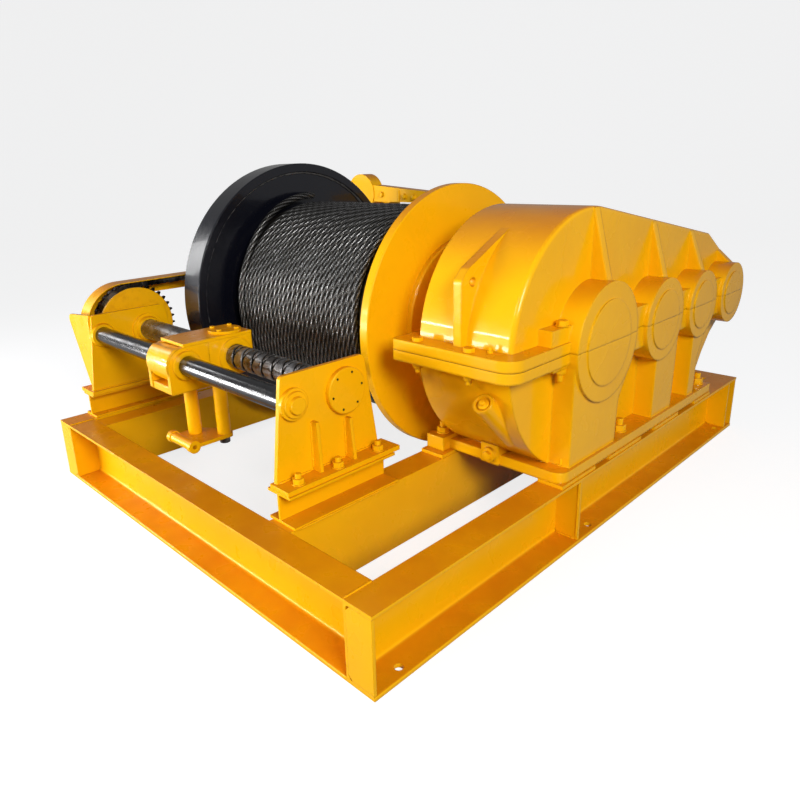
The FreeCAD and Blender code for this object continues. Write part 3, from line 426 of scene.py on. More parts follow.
@dataclass(frozen=True)
class SprocketFinish:
    """A painted wheel whose teeth are worn bare and black with chain oil.

    Attributes:
        centre: Middle of the wheel in metres.
        painted: Radius in metres up to which the paint holds.
    """

    centre: Vector
    painted: float = 0.1735

    def build(self) -> bpy.types.Material:
        """Makes the material.

        Returns:
            The material.
        """
        graph = Graph("oily_sprocket_paint")
        spot = graph.place_on_piece()
        offset = graph.node("ShaderNodeVectorMath", {0: spot, 1: (0.0, self.centre.y, self.centre.z)},
                            operation="SUBTRACT")
        flat = graph.node("ShaderNodeVectorMath", {0: offset, 1: (0.0, 1.0, 1.0)}, operation="MULTIPLY")
        reach = graph.node("ShaderNodeVectorMath", {0: flat}, "Value", operation="LENGTH")
        patch = graph.noise(40.0, 3.0)
        oily = (reach + patch * 0.004).ramp(self.painted, self.painted + 0.004)
        film = patch.ramp(0.4, 0.8, 0.0, 0.35).blend(Tone.YELLOW.value, Tone.AMBER.value)
        worn = patch.ramp(0.5, 0.6).blend(Tone.GREASE.value, Tone.CHAIN.value)
        colour = oily.blend(film, worn)
        normal = graph.bump(patch, 0.4, 0.0006, 0.003)
        return graph.close(Base_Color=colour, Roughness=0.30, Metallic=oily * 0.6, Normal=normal)


class Kit:
    """The finishes of the winch, each made once."""

    def __init__(self) -> None:
        """Makes every material."""
        # Each paint's second tone is painted shade or light on upward faces, with random mottle.
        self.yellow = PaintFinish("gloss_yellow_paint", Tone.YELLOW, Tone.AMBER).build()
        self.cast = PaintFinish("yellow_casting_paint", Tone.YELLOW, Tone.AMBER, rough=0.25, coat=0.34,
                                grain=26.0, relief=0.0022, edge=0.011).build()
        # The black paint's upward faces turn a lighter black: painted light.
        self.black = PaintFinish("gloss_black_paint", Tone.BLACK, Tone.BLACK_MOTTLE_AND_TOP_LIGHT, rough=0.20, coat=0.4,
                                 grain=34.0, relief=0.0007, shine=0.5, tint=Tone.PLAIN_SHEEN).build()
        # The weld bead's upward faces blend to bright steel: a painted glint along its top, with random
        # mottle.
        self.bead = PaintFinish("black_bead_top_glint", Tone.CHAIN, Tone.STEEL, rough=0.22, coat=0.3, edge=0.0,
                                tint=Tone.PLAIN_SHEEN).build()
        self.steel = SteelFinish("turned_shaft_steel", Tone.STEEL, Tone.WORN_CHROME, turning=2600.0).build()
        self.rod = SteelFinish("polished_rod_steel", Tone.CHROME, Tone.WORN_CHROME, rough=0.20,
                               relief=0.00004).build()
        self.chain = SteelFinish("oiled_chain_steel", Tone.CHAIN, Tone.STEEL, rough=0.32).build()
        self.grease = PaintFinish("dark_grease", Tone.GREASE, Tone.GREASE, coat=0.0, edge=0.0).build()
        self.joint = PaintFinish("jointing_paste", Tone.UMBER, Tone.UMBER, rough=0.5, coat=0.0,
                                 edge=0.0).build()
        self.sprocket = SprocketFinish(place(0, SCREW_Y, SCREW_Z)).build()
        self.rope = RopeFinish().build()
        self.screw = ScrewFinish().build()


# Shapes
def stand(at: Vector, axis: Vector) -> Matrix:
    """Returns the matrix that puts a shape drawn along Z at a point, along an axis."""
    return Matrix.Translation(at) @ axis.to_track_quat("Z", "Y").to_matrix().to_4x4()


class Shape:
    """One mesh piece under construction."""

    def __init__(self, name: str) -> None:
        """Starts an empty shape."""
        self.name = name
        self.bm = bmesh.new()

    def bar(self, at: Vector, axis: Vector, radius: float, length: float, sides: int = 20,
            soft: float = 0.0) -> None:
        """Adds a round or many sided bar.

        Args:
            at: Middle of its seat.
            axis: Way that it stands out.
            radius: Radius at the seat, over the corners.
            length: Length along the axis.
            sides: Number of sides.
            soft: Size of the chamfer round its far end.
        """
        middle = stand(at + axis * (length / 2), axis)
        made = bmesh.ops.create_cone(self.bm, cap_ends=True, segments=sides, radius1=radius,
                                     radius2=radius, depth=length, matrix=middle)
        if soft:
            far = {v for v in made["verts"] if (v.co - at).dot(axis) > length * 0.5}
            edges = [e for e in self.bm.edges if e.verts[0] in far and e.verts[1] in far]
            self.soften(edges, soft)

    def soften(self, edges: Sequence[bmesh.types.BMEdge], size: float) -> None:
        """Bevels some edges."""
        bmesh.ops.bevel(self.bm, geom=list(edges), offset=size, offset_type="OFFSET", affect="EDGES",
                        segments=2, profile=0.5, material=-1)

    def block(self, low: Vector, high: Vector, soft: float = 0.0) -> None:
        """Adds a block between two corners, with softened edges.

        Args:
            low: Corner with the least values.
            high: Corner with the greatest values.
            soft: Size of the chamfer, 0 for none.
        """
        size = high - low
        frame_of = Matrix.Translation((low + high) / 2) @ Matrix.Diagonal((*size, 1.0))
        made = bmesh.ops.create_cube(self.bm, size=1.0, matrix=frame_of)
        if soft:
            corners = set(made["verts"])
            self.soften([e for e in self.bm.edges if e.verts[0] in corners], soft)

    def turned(self, at: Vector, axis: Vector, profile: Sequence[tuple[float, float]],
               sides: int = 48) -> None:
        """Adds a turned solid by spinning its half section.

        Args:
            at: Point on the axis that distances count from.
            axis: The axis.
            profile: Distances along the axis and radii, first to last.
            sides: Number of steps round the axis.
        """
        turn = stand(at, axis)
        verts = [self.bm.verts.new(turn @ Vector((radius, 0.0, rise))) for rise, radius in profile]
        edges = [self.bm.edges.new(pair) for pair in zip(verts, verts[1:])]
        bmesh.ops.spin(self.bm, geom=verts + edges, cent=at, axis=axis, angle=math.tau, steps=sides,
                       use_merge=True, use_duplicate=False)

    def bead(self, start: Vector, end: Vector, radius: float, seed: int) -> None:
        """Adds a straight weld bead with uneven ripples.

        Args:
            start: First end.
            end: Last end.
            radius: Size of the bead.
            seed: Seed of its unevenness.
        """
        way = end - start
        turn = stand(start, way.normalized())
        noise = random.Random(seed)
        shift = [noise.uniform(-0.15, 0.15) for _ in range(64)]
        rows = max(4, int(way.length / BEAD_STEP))
        made = bmesh.ops.create_grid(self.bm, x_segments=rows, y_segments=8, size=0.5)
        for vert in made["verts"]:
            along = (vert.co.x + 0.5) * way.length
            angle = (vert.co.y + 0.5) * math.tau
            size = 0.85 + 0.2 * math.sin(along / BEAD_RIPPLE * math.tau)
            size += shift[int(along / BEAD_GRAIN) % len(shift)]
            size *= radius * min(1.0, 14 * (0.5 - abs(vert.co.x)))
            vert.co = turn @ Vector((size * math.cos(angle), size * math.sin(angle), along))

    def ring_bead(self, centre: Vector, ring: float, radius: float, seed: int) -> None:
        """Adds a weld bead round a circle about X.

        Args:
            centre: Middle of the circle.
            ring: Radius of the circle.
            radius: Size of the bead.
            seed: Seed of its unevenness.
        """
        before = set(self.bm.verts)
        made = bmesh.ops.create_circle(self.bm, segments=8, radius=radius, matrix=stand(centre + Z * ring, Y))
        edges = list({e for v in made["verts"] for e in v.link_edges})
        bmesh.ops.spin(self.bm, geom=made["verts"] + edges, cent=centre, axis=X, angle=math.tau, steps=360,
                       use_merge=True, use_duplicate=False)
        noise = random.Random(seed)
        shift = [noise.uniform(-0.25, 0.25) for _ in range(120)]
        for vert in set(self.bm.verts) - before:
            angle = math.atan2(vert.co.z - centre.z, vert.co.y - centre.y)
            out = Vector((0.0, math.cos(angle), math.sin(angle)))
            middle = centre + out * ring
            size = 0.85 + 0.18 * math.sin(angle * 90) + shift[int((angle + math.pi) / math.tau * 119)]
            vert.co = middle + (vert.co - middle) * size

    def stamp(self, other: "Shape", places: Sequence[Matrix]) -> None:
        """Adds a copy of another shape at each place.

        Args:
            other: Shape to copy, which is used up.
            places: Where each copy goes.
        """
        mesh = bpy.data.meshes.new("stamp")
        other.bm.to_mesh(mesh)
        other.bm.free()
        for turn in places:
            count = len(self.bm.verts)
            self.bm.from_mesh(mesh)
            bmesh.ops.transform(self.bm, matrix=turn, verts=list(self.bm.verts)[count:])
        bpy.data.meshes.remove(mesh)

    def finish(self, material: bpy.types.Material, body: str,
               smooth: float = 35.0) -> bpy.types.Object:
        """Turns the shape into an object that rides on a body.

        Args:
            material: The finish of the whole piece.
            body: CAD body that carries it.
            smooth: Greatest angle in degrees that is still shaded smooth.

        Returns:
            The new object.
        """
        bmesh.ops.remove_doubles(self.bm, verts=self.bm.verts, dist=1e-6)
        bmesh.ops.recalc_face_normals(self.bm, faces=self.bm.faces)
        limit = math.radians(smooth)
        for edge in self.bm.edges:
            edge.smooth = edge.is_manifold and edge.calc_face_angle(0.0) < limit
        for face in self.bm.faces:
            face.smooth = True
        mesh = bpy.data.meshes.new(self.name)
        self.bm.to_mesh(mesh)
        self.bm.free()
        mesh.materials.append(material)
        piece = bpy.data.objects.new(self.name, mesh)
        bpy.context.scene.collection.objects.link(piece)
        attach(piece, body)
        LOG.info("%s: %d faces on %s", self.name, len(mesh.polygons), body)
        return piece


@dataclass
class Rope:
    """The wire rope on the drum: its wraps, and the end that climbs over them.

    Attributes:
        kit: The finishes.
        first: Middle of the first wrap, in corner millimetres.
        turns: Number of wraps in the layer.
        reach: Radius of the wraps' middle line, in metres.
        strands: Strands in the rope.
        lay: Length of one full twist of the strands.
        steps: Steps round one wrap.
        arc: Part of the round section that shows, in degrees.
        valley: Share of the rope's radius between two strands.
        swell: Share that a strand's crest adds.
        core: Inner and outer radius of the dark layer below, in metres.
        core_left: Left end of that layer, in corner millimetres.
        core_length: Its length in metres.
        climb_x: Middle of the climbing end in front, in corner millimetres.
        climb_sweep: Part of a turn that the climbing end covers.
        climb_lead: Angle in degrees by which it passes the top.
        climb_rise: Height above the wraps in front, and what the top adds.
        climb_shift: Way to the left at the top, and what the tip adds.
        climb_arc: Angles in degrees over which it rises, and over which the tip turns in.
    """

    kit: Kit
    first: float = 452.0
    turns: int = 24
    reach: float = 0.412
    strands: int = 6
    lay: float = 0.262
    steps: int = 240
    arc: float = 236.0
    valley: float = 0.76
    swell: float = 0.245
    core: tuple[float, float] = (0.365, 0.406)
    core_left: float = 371.0
    core_length: float = 0.809
    climb_x: float = 434.0
    climb_sweep: float = 0.62
    climb_lead: float = 7.0
    climb_rise: tuple[float, float] = (0.016, 0.026)
    climb_shift: tuple[float, float] = (-0.036, -0.026)
    climb_arc: tuple[float, float] = (75.0, 14.0)

    def build(self) -> None:
        """Makes the wraps in two pieces, the climbing end and the dark layer below."""
        half = self.turns // 2
        start = place(self.first, DRUM_Y, DRUM_Z)
        left = self._coil("rope_turns_left", start, half)
        self._coil("rope_turns_right", start + X * (half * ROPE_D), self.turns - half)
        self._climb()
        under = Shape("rope_under_layer")
        low, high = self.core
        section = ((0.0, low), (0.0, high), (self.core_length, high), (self.core_length, low))
        under.turned(place(self.core_left, DRUM_Y, DRUM_Z), X, section, 96)
        under.finish(self.kit.grease, "drum")
        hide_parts("rope_winding")

    def _section(self, shape: Shape, centre: Vector, sides: int, arc: float) -> list:
        """Draws the rope's section above the drum's middle and returns its parts.

        Args:
            shape: Shape to draw in.
            centre: Middle of the section.
            sides: Points round the whole section.
            arc: Part of it that is kept, in degrees, outer side first.

        Returns:
            The vertices and edges of the section.
        """
        made = bmesh.ops.create_circle(shape.bm, segments=sides, radius=ROPE_D / 2, matrix=stand(centre, Y))
        least = math.cos(math.radians(arc / 2))
        hidden = [v for v in made["verts"] if (v.co - centre).dot(Z) < ROPE_D / 2 * least - 1e-6]
        bmesh.ops.delete(shape.bm, geom=hidden, context="VERTS")
        return list(shape.bm.verts) + list(shape.bm.edges)

    def _coil(self, name: str, start: Vector, turns: int) -> bpy.types.Object:
        """Spins the section into a row of wraps and twists it into strands.

        Args:
            name: Name of the piece.
            start: Point on the drum's axis below the first wrap.
            turns: Number of wraps.

        Returns:
            The new object.
        """
        wrap = Shape("wrap")
        part = self._section(wrap, start + Z * self.reach, 24, self.arc)
        bmesh.ops.spin(wrap.bm, geom=part, cent=start, axis=X, dvec=X * (ROPE_D / self.steps),
                       angle=math.tau, steps=self.steps, use_merge=False, use_duplicate=False)
        shape = Shape(name)
        shape.stamp(wrap, [Matrix.Translation(X * (ROPE_D * k)) for k in range(turns)])
        self._twist(shape, start, lambda angle: (self.reach, ROPE_D * angle / math.tau), turns)
        return shape.finish(self.kit.rope, "drum", 70.0)

    def _climb(self) -> None:
        """Makes the rope's own end, which rises over the wraps and turns into the flange."""
        shape = Shape("rope_climbing_end")
        start = place(self.climb_x, DRUM_Y, DRUM_Z)
        part = self._section(shape, start + Z * self.reach, 30, 360.0)
        total = int(self.steps * self.climb_sweep)
        lead = math.radians(self.climb_lead)
        bmesh.ops.spin(shape.bm, geom=part, cent=start, axis=X, dvec=Vector(),
                       angle=math.tau * self.climb_sweep, steps=total, use_merge=False, use_duplicate=False)
        bmesh.ops.rotate(shape.bm, cent=start, matrix=Matrix.Rotation(-lead, 3, "X"), verts=shape.bm.verts)
        bmesh.ops.holes_fill(shape.bm, edges=[e for e in shape.bm.edges if e.is_boundary])

        def route(angle: float) -> tuple[float, float]:
            """Returns the radius and the shift along X at an angle past the top.

            Args:
                angle: Angle past the top, towards the front.

            Returns:
                Both, in metres.
            """
            left, near = (min(1.0, max(0.0, 1.0 - (angle + lead) / math.radians(a))) for a in self.climb_arc)
            share = left * left * (3 - 2 * left)
            rise = self.climb_rise[0] + self.climb_rise[1] * share
            return self.reach + rise, self.climb_shift[0] * share + self.climb_shift[1] * near * near

        self._twist(shape, start, route, 0)
        shape.finish(self.kit.rope, "drum", 70.0)

    def _twist(self, shape: Shape, start: Vector, route: Callable[[float], tuple[float, float]],
               turns: int) -> None:
        """Moves the points of a plain round rope out to its strands and marks them.

        Args:
            shape: The spun rope.
            start: Point on the drum's axis below its first section.
            route: Angle past the top to radius and shift along X of the middle line.
            turns: Number of wraps, 0 for less than one.
        """
        sheet = shape.bm.loops.layers.uv.new("UVMap")
        crest = shape.bm.verts.layers.float.new("crest")
        marks = {}
        for vert in shape.bm.verts:
            flat = vert.co - start
            angle = (math.atan2(flat.z, flat.y) - math.pi / 2) % math.tau
            if turns:
                turn = round((flat.x - ROPE_D * angle / math.tau) / ROPE_D)
                whole = angle + math.tau * turn
            else:
                whole = angle - math.tau if angle > 1.6 * math.pi else angle
            round_x = flat.x - ROPE_D * whole / math.tau if turns else flat.x
            around = math.atan2(round_x, math.hypot(flat.y, flat.z) - self.reach)
            radius, shift = route(whole)
            along = self.reach * whole
            twist = -math.tau * along / self.lay
            lobe = abs(math.cos(self.strands / 2 * (around - twist)))
            size = ROPE_D / 2 * (self.valley + self.swell * lobe ** 0.6)
            out = Vector((0.0, -math.sin(angle), math.cos(angle)))
            vert.co = start + X * (shift + size * math.sin(around)) + out * (radius + size * math.cos(around))
            vert[crest] = lobe
            marks[vert] = (along / self.lay, around / math.tau)
        for face in shape.bm.faces:
            for loop in face.loops:
                loop[sheet].uv = marks[loop.vert]


@dataclass
class LeadScrew:
    """The reversing screw with its crossing grooves.

    Attributes:
        kit: The finishes.
        radius: Outer radius in metres.
        journal: Radius of the thin end.
        lead: Advance of a groove in one turn.
        width: Width of a groove.
        depth: Depth of a groove.
        start: Where the grooves start, in corner millimetres.
        end: Where they end.
        step: Distance between the points along a groove.
        shoulder: Where the thin end becomes thick, in corner millimetres.
        flank: Width of the slope beside a groove.
    """

    kit: Kit
    radius: float = 0.045
    journal: float = 0.028
    lead: float = 0.060
    width: float = 0.0115
    depth: float = 0.0058
    start: float = 645.0
    end: float = 1330.0
    step: float = 0.0017
    shoulder: float = 58.0
    flank: float = 0.0022

    def build(self) -> None:
        """Spins the stepped bar and sinks the grooves into it."""
        shape = Shape("crossed_lead_screw")
        low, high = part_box("lead_screw")
        axis = place(0, SCREW_Y, SCREW_Z)
        shoulder = place(self.shoulder, 0, 0).x
        first, last = place(self.start, 0, 0).x, place(self.end, 0, 0).x
        corners = ((low.x, 0.0), (low.x, self.journal), (shoulder, self.journal), (shoulder, self.radius),
                   (first, self.radius), (last, self.radius), (high.x, self.radius), (high.x, 0.0))
        verts = [shape.bm.verts.new((x, axis.y + reach, axis.z)) for x, reach in corners]
        edges = [shape.bm.edges.new(pair) for pair in zip(verts, verts[1:])]
        cuts = int((last - first) / self.step)
        bmesh.ops.subdivide_edges(shape.bm, edges=[edges[4]], cuts=cuts)
        bmesh.ops.spin(shape.bm, geom=list(shape.bm.verts) + list(shape.bm.edges), cent=axis, axis=X,
                       angle=math.tau, steps=84, use_merge=True, use_duplicate=False)
        groove = shape.bm.verts.layers.float.new("groove")
        for vert in shape.bm.verts:
            if first < vert.co.x < last:
                flat = Vector((0.0, vert.co.y - axis.y, vert.co.z - axis.z))
                share = self._cut(vert.co.x - first, math.atan2(flat.z, flat.y))
                vert[groove] = share
                vert.co -= flat.normalized() * (share * self.depth)
        piece = shape.finish(self.kit.screw, "screw", 60.0)
        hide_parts("lead_screw")

    def _cut(self, along: float, angle: float) -> float:
        """Returns the share of the full groove depth at one point of the surface.

        Args:
            along: Distance from the start of the grooves, in metres.
            angle: Angle round the screw's axis.

        Returns:
            The share, 0 on the land and 1 at the bottom of a groove.
        """
        best = 0.0
        for hand in (1, -1):
            phase = along / self.lead - hand * angle / math.tau
            off = abs(phase - round(phase)) * self.lead
            best = max(best, min(1.0, max(0.0, (self.width / 2 - off) / self.flank)))
        return best


@dataclass
class DriveChain:
    """The roller chain as plates, pins and rollers laid round both sprockets.

    Attributes:
        kit: The finishes.
        pitch: Distance between pins, in metres.
        middle: Middle plane of the chain, in corner millimetres.
        front_teeth: Teeth of the wheel on the screw.
        rear_teeth: Teeth of the wheel on the drum's shaft.
        plate_h: Height of a link plate.
        plate_t: Thickness of a link plate.
        waist: Share of the plate's height that is left in its middle.
        gaps: Middle plane to plate, for the inner and the outer links.
        roller: Radius and length of a roller.
        pin: Radius and length of a pin.
    """

    kit: Kit
    pitch: float = 0.03175
    middle: float = -30.0
    front_teeth: int = 36
    rear_teeth: int = 18
    plate_h: float = 0.024
    plate_t: float = 0.0034
    waist: float = 0.76
    gaps: tuple[float, float] = (0.0098, 0.0142)
    roller: tuple[float, float] = (0.0095, 0.0160)
    pin: tuple[float, float] = (0.0048, 0.0340)

    def build(self) -> None:
        """Stamps inner and outer links by turns along the loop."""
        points = self._loop()
        chain = Shape("roller_chain_links")
        for start, gap in enumerate(self.gaps):
            places = []
            for i in range(start, len(points), 2):
                here, after = points[i], points[(i + 1) % len(points)]
                way = (after - here).normalized()
                turn = Matrix((way, Vector((0.0, -way.z, way.y)), X)).transposed().to_4x4()
                places.append(Matrix.Translation((here + after) / 2) @ turn)
            chain.stamp(self._link(gap), places)
        piece = chain.finish(self.kit.chain, "frame", 40.0)
        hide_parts("drive_chain")

    def _link(self, gap: float) -> Shape:
        """Draws one link flat, its plates this far out from the middle plane.

        Args:
            gap: Distance from the chain's middle to each plate's middle.

        Returns:
            The link, along its own X.
        """
        link = Shape("link")
        made = bmesh.ops.create_circle(link.bm, cap_ends=True, segments=12, radius=self.plate_h / 2,
                                       matrix=Matrix.Rotation(math.radians(15), 4, "Z"))
        for vert in made["verts"]:
            vert.co.x += math.copysign(self.pitch / 2, vert.co.x)
        plate = list(link.bm.faces) + list(link.bm.edges) + list(link.bm.verts)
        cut = bmesh.ops.bisect_plane(link.bm, geom=plate, plane_co=Vector(), plane_no=X)
        for vert in cut["geom_cut"]:
            if isinstance(vert, bmesh.types.BMVert):
                vert.co.y *= self.waist
        bmesh.ops.remove_doubles(link.bm, verts=link.bm.verts, dist=1e-6)
        raised = bmesh.ops.extrude_face_region(link.bm, geom=list(link.bm.faces))
        top = [v for v in raised["geom"] if isinstance(v, bmesh.types.BMVert)]
        bmesh.ops.translate(link.bm, verts=top, vec=Z * self.plate_t)
        bmesh.ops.translate(link.bm, verts=link.bm.verts, vec=Z * (gap - self.plate_t / 2))
        bmesh.ops.mirror(link.bm, geom=list(link.bm.verts) + list(link.bm.edges) + list(link.bm.faces),
                         axis="Z", merge_dist=0.0)
        middle = Vector((-self.pitch / 2, 0.0, 0.0))
        for (radius, length), sides in ((self.roller, 12), (self.pin, 8)):
            link.bar(middle - Z * (length / 2), Z, radius, length, sides)
        return link

    def _loop(self) -> list[Vector]:
        """Returns the pins' places, evenly spaced round both wheels.

        Returns:
            The places, in metres.
        """
        near, far = place(self.middle, SCREW_Y, SCREW_Z), place(self.middle, DRUM_Y, DRUM_Z)
        big = self.pitch / (2 * math.sin(math.pi / self.front_teeth))
        small = self.pitch / (2 * math.sin(math.pi / self.rear_teeth))
        way = far - near
        tilt = math.atan2(way.z, way.y)
        lean = math.acos((big - small) / way.length)
        front_arc = big * (math.tau - 2 * lean)
        rear_arc = small * 2 * lean
        run = math.sqrt(way.length ** 2 - (big - small) ** 2)
        total = front_arc + rear_arc + 2 * run
        links = round(total / self.pitch / 2) * 2

        def rim(centre: Vector, radius: float, angle: float) -> Vector:
            """Returns the point of a wheel's pitch circle at an angle."""
            return centre + Vector((0.0, radius * math.cos(angle), radius * math.sin(angle)))

        points = []
        for k in range(links):
            walked = total * k / links
            if walked < front_arc:
                points.append(rim(near, big, tilt + lean + walked / big))
            elif walked < front_arc + run:
                share = (walked - front_arc) / run
                points.append(rim(near, big, tilt - lean).lerp(rim(far, small, tilt - lean), share))
            elif walked < front_arc + run + rear_arc:
                turned = (walked - front_arc - run) / small
                points.append(rim(far, small, tilt - lean + turned))
            else:
                share = (walked - front_arc - run - rear_arc) / run
                points.append(rim(far, small, tilt + lean).lerp(rim(near, big, tilt + lean), share))
        return points


@dataclass(frozen=True)
class Bolt:
    """A bolt or a stud with its nut.

    Attributes:
        at: Point on the seat, in metres.
        axis: Way out of the seat.
        size: Thread diameter in metres.
        stud: Length of thread past the nut, 0 for a plain head.
        washer: Whether there is a washer.
    """

    at: Vector
    axis: Vector = field(default_factory=lambda: Z)
    size: float = 0.020
    stud: float = 0.0
    washer: bool = True

    def add(self, shape: Shape) -> None:
        """Adds the fastener to a shape.

        Args:
            shape: Shape to add it to.
        """
        rise = 0.0
        if self.washer:
            rise = self.size * 0.16
            shape.bar(self.at, self.axis, self.size, rise, 24, self.size * 0.05)
        height = self.size * (0.8 if self.stud else 0.68)
        shape.bar(self.at + self.axis * rise, self.axis, self.size * 0.90, height, 6, self.size * 0.10)
        if self.stud:
            shape.bar(self.at + self.axis * (rise + height), self.axis, self.size * 0.48, self.stud, 14,
                      self.size * 0.12)


def bolt_set(name: str, bolts: Sequence[Bolt], material: bpy.types.Material, body: str) -> None:
    """Makes one piece of several fasteners.

    Args:
        name: Name of the piece.
        bolts: The fasteners.
        material: Their finish.
        body: CAD body that carries them.
    """
    shape = Shape(name)
    for bolt in bolts:
        bolt.add(shape)
    shape.finish(material, body, 30.0)


def around(centre: Vector, axis: Vector, radius: float, count: int, start: float) -> list[Vector]:
    """Returns points spaced evenly on a circle.

    Args:
        centre: Middle of the circle.
        axis: Axis of the circle.
        radius: Radius of the circle.
        count: Number of points.
        start: Angle of the first, in degrees.

    Returns:
        The points.
    """
    turn = stand(centre, axis)
    angles = [math.radians(start + 360.0 * k / count) for k in range(count)]
    return [turn @ Vector((radius * math.cos(a), radius * math.sin(a), 0.0)) for a in angles]


@dataclass
class GearboxDetails:
    """Bolts, plugs and the joint line of the cast gearbox.

    Attributes:
        kit: The finishes.
        joint_z: Height of the joint between the two housings.
        flange_z: Upper and lower face of the joint flange.
        base_z: Top of the foot flange.
        flange_low: Front left corner of the joint flange.
        flange_high: Rear right corner of the joint flange.
        corner: Radius of the flange's front right corner, in metres.
        small_corner: Radius of its other corners.
        paste_over: Width by which the jointing paste stands out.
        paste_height: Height of the line of paste.
        gauge: Middle of the oil gauge's mouth.
        drain: Middle of the drain plug's seat.
        front_bolts: X of the bolts in front, and their Y.
        left_bolts: X of the bolts on the left side, and their Y.
        pin: Place of the small pin on the flange.
        pads: The side pads' bolts: X, Y, heights above and below, size and stud.
        feet: X and Y of the foot bolts on the right.
        left_feet: X and Y of the foot bolts on the left.
        front_foot: Place of the nut on the front left foot.
    """

    kit: Kit
    joint_z: float = 691.0
    flange_z: tuple[float, float] = (727.0, 655.0)
    base_z: float = 301.0
    flange_low: tuple[float, float] = (1440.0, 606.0)
    flange_high: tuple[float, float] = (1918.0, 2408.0)
    corner: float = 0.060
    small_corner: float = 0.014
    paste_over: float = 0.0004
    paste_height: float = 0.0012
    gauge: tuple[float, float, float] = (1780.0, 660.0, 560.0)
    drain: tuple[float, float, float] = (1669.0, 837.0, 299.0)
    front_bolts: tuple[tuple[float, ...], float] = ((1534.0, 1742.0), 632.0)
    left_bolts: tuple[float, tuple[float, ...]] = (1466.0, (760.0, 1060.0, 1400.0, 1740.0, 2060.0, 2370.0))
    pin: tuple[float, float] = (1800.0, 660.0)
    pads: tuple[tuple[float, ...], ...] = ((1893.0, 905.0, 779.0, 642.0, 0.022, 0.026),
                                           (1900.0, 1338.0, 770.0, 612.0, 0.020, 0.020),
                                           (1900.0, 1722.0, 770.0, 612.0, 0.020, 0.020))
    feet: tuple[float, tuple[float, ...]] = (1903.0, (943.0, 1336.0, 1699.0, 2078.0))
    left_feet: tuple[float, tuple[float, ...]] = (1440.0, (1410.0, 1980.0))
    front_foot: tuple[float, float, float] = (1440.0, 868.0, 315.0)

    def build(self) -> None:
        """Makes every group of the gearbox's small parts."""
        self._joint()
        self._flange_bolts()
        self._foot_bolts()
        self._plugs()

    def _joint(self) -> None:
        """Draws the dark line of jointing paste between the two flanges."""
        paste = Shape("gearbox_joint_line")
        over = Vector((self.paste_over, self.paste_over, 0.0))
        low = place(*self.flange_low, self.joint_z - 0.5) - over
        high = place(*self.flange_high, self.joint_z - 0.5) + over
        middle = (low + high) / 2
        size = Matrix.Diagonal((high.x - low.x, high.y - low.y, 1.0, 1.0))
        made = bmesh.ops.create_grid(paste.bm, x_segments=1, y_segments=1, size=0.5,
                                     matrix=Matrix.Translation((middle.x, middle.y, low.z)) @ size)
        for vert in made["verts"]:
            front_right = vert.co.x > middle.x and vert.co.y < middle.y
            reach = self.corner if front_right else self.small_corner
            bmesh.ops.bevel(paste.bm, geom=[vert], offset=reach, offset_type="OFFSET", affect="VERTICES",
                            segments=8, profile=0.5, material=-1)
        raised = bmesh.ops.extrude_face_region(paste.bm, geom=list(paste.bm.faces))
        top = [v for v in raised["geom"] if isinstance(v, bmesh.types.BMVert)]
        bmesh.ops.translate(paste.bm, verts=top, vec=Z * self.paste_height)
        paste.finish(self.kit.joint, "frame")

    def _flange_bolts(self) -> None:
        """Makes the bolts of the joint flange, with their nuts below."""
        top, low = self.flange_z
        bolts = []
        across, y = self.front_bolts
        for x in across:
            bolts.append(Bolt(place(x, y, top), Z, 0.020, 0.0, False))
            bolts.append(Bolt(place(x, y, low), -Z, 0.020, 0.016, False))
        bolts.append(Bolt(place(*self.pin, top), Z, 0.010, 0.012, False))
        for x, y, above, below, size, stud in self.pads:
            bolts.append(Bolt(place(x, y, above), Z, size))
            bolts.append(Bolt(place(x, y, below), -Z, size, stud, False))
        x, along = self.left_bolts
        for y in along:
            bolts.append(Bolt(place(x, y, top), Z, 0.020, 0.0, False))
            bolts.append(Bolt(place(x, y, low), -Z, 0.020, 0.014, False))
        bolt_set("gearbox_joint_bolts", bolts, self.kit.yellow, "frame")

    def _foot_bolts(self) -> None:
        """Makes the bolts that hold the gearbox down."""
        x, along = self.feet
        bolts = [Bolt(place(x, y, self.base_z), Z, 0.027, 0.024) for y in along]
        bolts.append(Bolt(place(*self.front_foot), Z, 0.024, 0.020))
        x, along = self.left_feet
        bolts += [Bolt(place(x, y, self.base_z), Z, 0.024, 0.020) for y in along]
        bolt_set("gearbox_foot_bolts", bolts, self.kit.yellow, "frame")

    def _plugs(self) -> None:
        """Makes the drain plug and the plug in the oil gauge's mouth."""
        plugs = Shape("gearbox_plugs")
        plugs.bar(place(*self.drain), -Y, 0.017, 0.014, 6, 0.002)
        way = Vector((0.0, -1.0, 1.0)).normalized()
        mouth = place(*self.gauge)
        plugs.bar(mouth, way, 0.019, 0.006, 24, 0.002)
        plugs.bar(mouth + way * 0.006, way, 0.010, 0.012, 6, 0.0015)
        plugs.finish(self.kit.yellow, "frame", 30.0)


